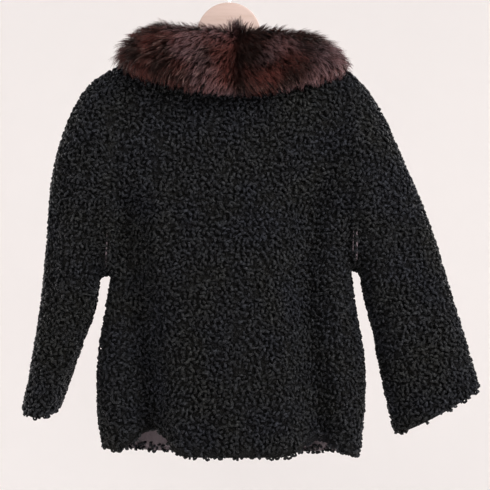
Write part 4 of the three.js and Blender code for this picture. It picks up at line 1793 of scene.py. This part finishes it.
@dataclass
class FurCollar:
    """The rolled collar: a skin core on each side, with locks of fur over it."""

    body: BodyForm
    scatter: Scatter
    walls: Sequence[bpy.types.Object]
    stations: int = 60
    around: int = 44
    nap: float = 12.5  # how far the core lies under the fur's surface
    kinds: int = 6  # of lock
    blades: int = 7  # hairs in a lock
    hair: Tuple[float, ...] = (0.42, 0.40, 0.27, 0.05)  # half width from root to tip
    reached: Tuple[float, ...] = (0.0, 0.38, 0.74, 1.0)  # how far along a hair each is
    clearance: float = 0.001  # metres from the cloth, below which the core is pushed out
    spacing: float = 3.0
    unrest: float = 0.3
    roll: float = 0.35
    sizes: Tuple[float, float] = (0.75, 1.12)
    seed: int = 21
    spread: Tuple[Tuple[float, float], ...] = ((1, 1), (0.84, 0.8))  # reach, rise: left, right
    rows: Tuple[CollarRow, ...] = (
        CollarRow(0, 40, 56, -60),
        CollarRow(0.12, 43, 59, -57),
        CollarRow(0.26, 41, 69, -47),
        CollarRow(0.4, 36, 86, -39),
        CollarRow(0.5, 35, 93, -38),
        CollarRow(0.62, 35, 84, -62),
        CollarRow(0.76, 32, 66, -84),
        CollarRow(0.9, 28, 49, -94),
        CollarRow(0.96, 22, 43, -93),
        CollarRow(1, 8, 32, -80),
    )
    section: Tuple[SectionCorner, ...] = (
        SectionCorner(0, -7, 0.62),
        SectionCorner(0, -5, 0.84),
        SectionCorner(0.18, 0, 0.99),
        SectionCorner(0.45, 0, 0.94),
        SectionCorner(0.74, 0, 0.7),
        SectionCorner(0.95, 0, 0.42),
        SectionCorner(1, 0, 0.16),
        SectionCorner(0.84, 0, 0),
        SectionCorner(0.4, 0, 0.02),
        SectionCorner(0, 2, 0.3),
    )

    def build(self) -> None:
        """Builds both halves."""
        locks = shape_collection("lock", [self._lock(k) for k in range(self.kinds)])
        graph = bpy.context.evaluated_depsgraph_get()
        skins = [BVHTree.FromObject(wall_, graph) for wall_ in self.walls]
        for side in Side:
            core = self._core(side)
            self._half(side, core._replace(grid=self._clear(core.grid, skins)), locks)

    def _lock(self, k: int) -> bpy.types.Mesh:
        """A lock of hairs that lean together. Z runs along it and X away from the skin.

        Args:
            k: the number of the shape, which seeds its hairs.

        Returns:
            The mesh.
        """
        rng = np.random.default_rng(300 + k)
        t, wide = np.array(self.reached), np.array(self.hair)[:, None]
        tip = rng.normal(0, 1.6, 2)
        blades = []
        for _ in range(self.blades):
            root, end = rng.normal(0, 2.1, 2), tip + rng.normal(0, 1.5, 2)
            long = rng.uniform(19, 27)
            bow = rng.uniform(2.5, 5.5)
            x = mix(root[0], end[0], t) + bow * np.sin(t * math.pi * 0.75) + 1.0 * t
            y = mix(root[1], end[1], t) + rng.normal(0, 1.0) * t * (1 - t) * 4
            z = t * long - 3
            spin = rng.uniform(-0.9, 0.9)
            across = wide * np.array([math.sin(spin), math.cos(spin), 0.0])
            line = np.stack([x, y, z], axis=1)
            blades.append(np.stack([line - across, line + across], axis=1))
        return strip_mesh("lock", blades, False, t)

    def _core(self, side: Side) -> Core:
        """Lays one half's core round the neck.

        Args:
            side: the wearer's side.

        Returns:
            The core, before it is pushed out of the cloth.
        """
        out = side.value
        reach_share, rise_share = self.spread[0 if side is Side.LEFT else 1]
        i = np.arange(self.around) / self.around
        nap = self.nap - np.interp(i, [0, 0.15, 0.36, 0.6], [0, 8.5, 7, 0])[:, None]
        rings = []
        for k in range(self.stations + 1):
            share = k / self.stations
            on_back = share <= 0.5
            face = Face.BACK if on_back else Face.FRONT
            a = (share if on_back else 1 - share) * 2 * self.body.neck_share * 0.999
            x, y, z = self.body.top(face, side, a)
            turn = share * math.pi
            outward = np.array([out * math.sin(turn), math.cos(turn), 0])
            aside = 1 - abs(share * 2 - 1)
            rise = table_at(self.rows, "share", share, "rise") * mix(1, rise_share, aside)
            reach = table_at(self.rows, "share", share, "reach") * mix(1, reach_share, aside)
            fall = table_at(self.rows, "share", share, "fall")
            corners = [[c.out * reach + c.plus, mix(fall, rise, c.up)] for c in self.section]
            ring = closed_curve(np.array(corners), self.around)
            centre = ring.mean(axis=0)
            spoke = ring - centre
            long = np.linalg.norm(spoke, axis=1, keepdims=True)
            ring = centre + spoke * np.maximum((long - nap) / long, 0.25)
            at = np.array([x, y * face.value, z])
            rings.append(at + ring[:, :1] * outward + ring[:, 1:] * np.array([0, 0, 1.0]))
        grid = np.array(rings)
        lean, size = self._lie(grid, grid_normals(grid, True) * -out, i)
        cover = np.interp(i, [0.0, 0.07, 0.13, 0.58, 0.67, 0.75], [0.1, 0.5, 1, 1, 0.6, 0])
        return Core(grid, lean, np.tile(cover, (self.stations + 1, 1)), size)

    def _lie(self, grid: Grid, normals: Grid, i: np.ndarray) -> Tuple[Grid, np.ndarray]:
        """How the fur lies: outwards and down, parted behind, with a tuft over the parting.

        Args:
            grid: the core's rings, from the middle of the back to the front.
            normals: their outward normals.
            i: how far round its ring each column is, from 0 to 1.

        Returns:
            The way that each lock leans, and its size.
        """
        share = np.linspace(0, 1, self.stations + 1)[:, None, None]
        flow = unit(np.roll(grid, -1, axis=1) - np.roll(grid, 1, axis=1))
        sideways = unit(np.gradient(grid, axis=0))
        parted = 0.25 + 0.45 * (np.exp(-((share / 0.22) ** 2)) - np.exp(-((share / 0.035) ** 2)))
        lift = np.interp(i, [0, 0.13, 0.36, 0.6], [0.2, 0.25, 0.5, 0.5])[None, :, None]
        tuft = np.exp(-((share / 0.03) ** 2) - (((i[None, :, None] - 0.17) / 0.07) ** 2))
        lean = unit(flow * 0.95 + normals * lift + sideways * parted)
        size = np.interp(i, [0.0, 0.13, 0.3, 0.5, 0.62], [0.55, 0.65, 0.95, 1, 0.8])
        return unit(lean + tuft * np.array([0, 0, 1.6])), size + 0.5 * tuft[..., 0]

    def _clear(self, grid: Grid, skins: Sequence[BVHTree]) -> Grid:
        """Pushes the core out of the cloth that it lies on.

        Args:
            grid: the core's points.
            skins: the walls of cloth.

        Returns:
            The points, clear of the cloth.
        """
        made = grid.copy().reshape(-1, 3)
        for n, point in enumerate(made):
            for skin in skins:
                place, normal, _, _ = skin.find_nearest(Vector(point * MM), 0.03)
                if place is None:
                    continue
                here = Vector(made[n] * MM)
                depth = (here - place).dot(normal)
                if depth < self.clearance:
                    made[n] = np.array(here + normal * (1.5 * self.clearance - depth)) / MM
        return made.reshape(grid.shape)

    def _half(self, side: Side, core: Core, locks: bpy.types.Collection) -> None:
        """One half: the closed core and its fur.

        Args:
            side: the wearer's side.
            core: its core.
            locks: the small shapes of the fur.
        """
        name = "collar_" + side.word
        grid = core.grid
        rows, columns = grid.shape[:2]
        faces = grid_faces(rows, columns, True).tolist()
        points = np.concatenate([grid.reshape(-1, 3), grid[[0, -1]].mean(axis=1)])
        first, last, foot = len(points) - 2, len(points) - 1, (rows - 1) * columns
        for i in range(columns):
            after = (i + 1) % columns
            faces += [[first, after, i], [last, foot + i, foot + after]]
        if side is Side.LEFT:
            faces = [f[::-1] for f in faces]
        skin = make_mesh(name + "_skin", points, faces, FUR)
        surface = make_mesh("emitter", points, faces, FUR)
        ends = np.array([[0, 0, 0.3], [0, 0, 0.3]])
        write_values(surface.data, "lean", np.concatenate([core.lean.reshape(-1, 3), ends]))
        write_values(surface.data, "cover", np.append(core.cover, [1, 1]))
        write_values(surface.data, "size", np.append(core.size, [1, 1]))
        fur = self.scatter.cover(
            name + "_fur", surface, locks, FUR,
            Spacing=self.spacing * MM, Seed=self.seed + side.value,
            Unrest=self.unrest, Roll=self.roll, Least=self.sizes[0], Most=self.sizes[1],
        )
        finish_piece(skin, "fur", name)
        finish_piece(fur, "fur")


# The hanger and the buttons


def tube(name: str, line: np.ndarray, radius: float, sides: int, finish: Finish) -> bpy.types.Object:
    """A round wire in the hanger's plane, with domed ends.

    Args:
        name: the piece's name.
        line: its middle line, in millimetres, at Y 0.
        radius: half its thickness.
        sides: points round it.
        finish: its finish.

    Returns:
        The piece.
    """
    along = unit(np.gradient(line, axis=0))
    caps = [(-1, [0.25, 0.7, 0.95]), (1, [0.95, 0.7, 0.25])]
    rings, sizes = list(line), [radius] * len(line)
    for sign, girths in caps:
        end, way = (line[0], along[0]) if sign < 0 else (line[-1], along[-1])
        dome = [end + sign * way * radius * math.sqrt(1 - g * g) for g in girths]
        where = 0 if sign < 0 else len(rings)
        rings[where:where] = dome
        sizes[where:where] = [radius * g for g in girths]
    middle = np.array(rings)
    ways = np.concatenate([along[:1].repeat(3, 0), along, along[-1:].repeat(3, 0)])
    outward = np.stack([ways[:, 2], np.zeros(len(ways)), -ways[:, 0]], axis=1)
    turn = np.arange(sides) / sides * 2 * math.pi
    size = np.array(sizes)[:, None, None]
    grid = middle[:, None] + size * (
        np.cos(turn)[None, :, None] * outward[:, None]
        + np.sin(turn)[None, :, None] * np.array([0, 1.0, 0])
    )
    rows = len(grid)
    faces = grid_faces(rows, sides, True).tolist()
    points = np.concatenate([grid.reshape(-1, 3), middle[:1], middle[-1:]])
    foot = (rows - 1) * sides
    for i in range(sides):
        after = (i + 1) % sides
        faces += [[len(points) - 2, after, i], [len(points) - 1, foot + i, foot + after]]
    return make_mesh(name, points, faces, finish)


@dataclass
class Hanger:
    """The flat wooden hanger with its domed middle, and its wire hook."""

    board: float = 14.0
    rounding: float = 2.2
    dome_top: float = -62.0
    dome_radius: float = 48.0
    wire: float = 2.0
    hook_radius: float = 17.0
    middle: float = 1.0
    lowered: float = 1.2  # the arms' top edge, clear of the cloth
    below: Tuple[Tuple[float, float], ...] = (
        (0, -164), (60, -170), (110, -186), (150, -204), (185, -224), (200, -231),
    )
    top: Tuple[Tuple[float, float], ...] = (
        (58, -144), (100, -152.5), (118, -152), (150, -163), (172, -175), (192, -190),
        (205, -206), (209, -219),
    )

    def outline(self) -> np.ndarray:
        """The board's outline in its plane.

        Returns:
            Its points as X and Z, anticlockwise.
        """
        turn = np.linspace(-0.03, 1.03, 41) * math.pi
        dome = np.stack([
            self.dome_radius * np.cos(turn),
            self.dome_top - self.dome_radius + self.dome_radius * np.sin(turn),
        ], axis=1)
        below = finer(np.array(self.below, float), 5)
        top = finer(np.array(self.top, float) - [0, self.lowered], 5)[::-1]
        mirror = np.array([-1.0, 1.0])
        loop = np.concatenate([below, top, dome, top[::-1] * mirror, below[:0:-1] * mirror])
        return loop + [self.middle, 0]

    def build(self) -> None:
        """Builds the board and the hook."""
        loop = self.outline()
        around = np.roll(loop, -1, axis=0) - np.roll(loop, 1, axis=0)
        outward = unit(np.stack([around[:, 1], -around[:, 0]], axis=1))
        half, r = self.board / 2, self.rounding
        bevel = [
            (r * (1 - math.sin(turn)) - half, r * (1 - math.cos(turn)))
            for turn in np.linspace(math.pi / 2, 0, 4)
        ]
        rings = []
        for y, inset in bevel + [(-y, inset) for y, inset in bevel[::-1]]:
            edge = loop - outward * inset
            rings.append(np.stack([edge[:, 0], np.full(len(edge), y), edge[:, 1]], axis=1))
        grid = np.array(rings)
        count = grid.shape[1]
        faces = grid_faces(len(grid), count, True).tolist()
        foot = (len(grid) - 1) * count
        faces.append(list(range(count))[::-1])
        faces.append([foot + i for i in range(count)])
        board = make_mesh("hanger_wood", grid.reshape(-1, 3), faces, WOOD)
        finish_piece(board, "hanger_wood", "hanger_board")
        finish_piece(self._hook(), "hook_wire", "hanger_hook")

    def _hook(self) -> bpy.types.Object:
        """The wire hook, from the dome up, round and down to its tip.

        Returns:
            The piece.
        """
        r, z = self.hook_radius, self.wire - self.hook_radius
        turns = np.linspace(-0.08, 1.24, 9) * math.pi
        bow = [(r * math.cos(t), z + r * math.sin(t)) for t in turns]
        corners = [(0, self.dome_top + 0.3), (0, -52), (2.5, -42), (10, -31.5), *bow]
        line = finer(np.array([(x, 0.0, up) for x, up in corners]), 8)
        return tube("hook_wire", line, self.wire, 16, STEEL)


@dataclass
class Buttons:
    """Three plain round buttons down the lap."""

    column: np.ndarray  # the lap's middle line, from the hem up
    normals: np.ndarray
    profile: Tuple[Tuple[float, float], ...] = (  # radius and height
        (0, 0), (9, 0), (12.6, 0), (14.2, 0.9), (15, 2.4), (14.9, 3.8), (14.2, 5.1), (13, 5.9),
        (11.8, 6), (10.8, 5.6), (9.8, 4.8), (6, 4.5), (0, 4.5),
    )
    half_thick: float = 3.0
    points: int = 48  # round the disc
    thread_radius: float = 0.55
    thread_reach: float = 3.2

    def build(self) -> None:
        """Builds each button where its node is."""
        for name in ("button_1", "button_2", "button_3"):
            low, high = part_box(name)
            at = np.array((low + high) / 2) / MM
            row = int(np.argmin(np.abs(self.column[:, 2] - at[2])))
            self._button(name, at, self.normals[row])

    def _button(self, name: str, at: np.ndarray, normal: np.ndarray) -> None:
        """One button: a turned disc with a raised rim and crossed thread.

        Args:
            name: the button's node.
            at: its middle.
            normal: the way that it faces.
        """
        count = self.points
        turn = np.arange(count) / count * 2 * math.pi
        x_way = unit(np.cross([0, 0, 1.0], normal))
        y_way = np.cross(normal, x_way)
        base = at - normal * self.half_thick
        rings = np.array([
            base + normal * up + r * (np.cos(turn)[:, None] * x_way + np.sin(turn)[:, None] * y_way)
            for r, up in self.profile[1:-1]
        ])
        rows = len(rings)
        dish = base + normal * self.profile[-1][1]
        points = np.concatenate([rings.reshape(-1, 3), [base, dish]])
        faces = grid_faces(rows, count, True).tolist()
        foot = (rows - 1) * count
        for i in range(count):
            after = (i + 1) % count
            faces += [[len(points) - 2, after, i], [len(points) - 1, foot + i, foot + after]]
        disc = make_mesh(name + "_disc", points, faces, HORN)
        finish_piece(disc, "button", name)
        stitches, faces = [], []
        steps, sides = 9, 6
        t = np.linspace(-1, 1, steps)
        rise = 4.6 + 0.9 * (1 - t ** 4)
        around = np.arange(sides)[None, :, None] / sides * 2 * math.pi
        for sign in (-1, 1):
            way = unit(x_way + sign * y_way)
            line = base + normal * rise[:, None] + way * (t * self.thread_reach)[:, None]
            section = np.cos(around) * np.cross(normal, way) + np.sin(around) * normal
            faces += grid_faces(steps, sides, True, len(stitches) * steps * sides).tolist()
            stitches.append(line[:, None] + self.thread_radius * section)
        points = np.concatenate(stitches).reshape(-1, 3)
        finish_piece(make_mesh(name + "_thread", points, faces, PILE), "button")


# The studio


@dataclass
class Studio:
    """The camera, the lights, and the pale floor and wall."""

    camera_at: Tuple[float, float, float] = (-0.02325, 2.0, -0.425)
    half_view: float = 0.3675  # of the picture's width, in the hanger's plane
    plaster: PlasterFinish = PlasterFinish("plaster")
    radius: float = 4.2
    corner: float = 0.8  # radius of the curve from the floor to the wall
    height: float = 4.5
    sides: int = 72
    light: Colour = (1.0, 0.975, 0.955)
    aim: Tuple[float, float, float] = (0, 0, -0.4)
    world: Colour = (0.98, 0.97, 0.965)
    world_strength: float = 0.62

    def build(self) -> None:
        """Sets up everything round the garment."""
        camera = bpy.data.cameras.new("camera")
        camera.sensor_width = 36
        camera.lens = 18 * self.camera_at[1] / self.half_view
        camera.clip_end = 50
        eye = bpy.data.objects.new("camera", camera)
        eye.location = self.camera_at
        eye.rotation_euler = (math.pi / 2, 0, math.pi)
        bpy.context.scene.collection.objects.link(eye)
        bpy.context.scene.camera = eye
        bpy.context.scene.view_settings.view_transform = "Standard"
        self._light("key", (-1.7, 1.5, 0.75), 0.9, 66)
        self._light("fill", (1.9, 1.3, 0.2), 1.6, 14)
        self._light("front_key", (-1.2, -2.1, 0.7), 1.5, 46)
        self._light("front_fill", (1.7, -1.6, 0.1), 1.6, 26)
        self._surround()
        world = bpy.data.worlds.new("world")
        world.use_nodes = True
        shade = world.node_tree.nodes["Background"]
        shade.inputs["Color"].default_value = (*self.world, 1.0)
        shade.inputs["Strength"].default_value = self.world_strength
        bpy.context.scene.world = world

    def _light(self, name: str, at: Tuple[float, float, float], size: float, power: float) -> None:
        """A square soft light aimed at the middle of the garment.

        Args:
            name: the light's name.
            at: its place, in metres.
            size: the length of its side.
            power: its power in watts.
        """
        light = bpy.data.lights.new(name, "AREA")
        light.size = size
        light.energy = power
        light.color = self.light
        lamp = bpy.data.objects.new(name, light)
        lamp.location = at
        lamp.rotation_mode = "QUATERNION"
        aim = Vector(self.aim) - Vector(at)
        lamp.rotation_quaternion = aim.to_track_quat("-Z", "Y")
        bpy.context.scene.collection.objects.link(lamp)

    def _surround(self) -> None:
        """A round floor that curves up into a wall on every side."""
        flat, count, floor = self.radius - self.corner, self.sides, self.plaster.floor_z
        profile = [(0.05, 0), (1.5, 0), (flat, 0)]
        for turn in np.linspace(0.1, 1, 8) * math.pi / 2:
            out, up = self.corner * math.sin(turn), self.corner * (1 - math.cos(turn))
            profile.append((flat + out, up))
        profile.append((self.radius, self.height))
        turn = np.arange(count) / count * 2 * math.pi
        grid = np.array([
            np.stack([r * np.cos(turn), r * np.sin(turn), np.full(count, floor + up)], axis=1)
            for r, up in profile
        ]) / MM
        points = np.concatenate([grid.reshape(-1, 3), [[0, 0, floor / MM]]])
        faces = grid_faces(len(profile), count, True)[:, ::-1].tolist()
        faces += [[len(points) - 1, i, (i + 1) % count] for i in range(count)]
        make_mesh("surround", points, faces, self.plaster)


def main() -> None:
    """Builds the scene in order."""
    Studio().build()
    body, scatter = BodyForm(), Scatter()
    jacket = Jacket(body, PileCloth(body.seam_points()), scatter)
    walls = jacket.build()
    log.info("jacket built")
    FurCollar(body, scatter, walls).build()
    log.info("collar built")
    Hanger().build()
    Buttons(jacket.lap_line, jacket.lap_normals).build()


if __name__ == "__main__":
    main()
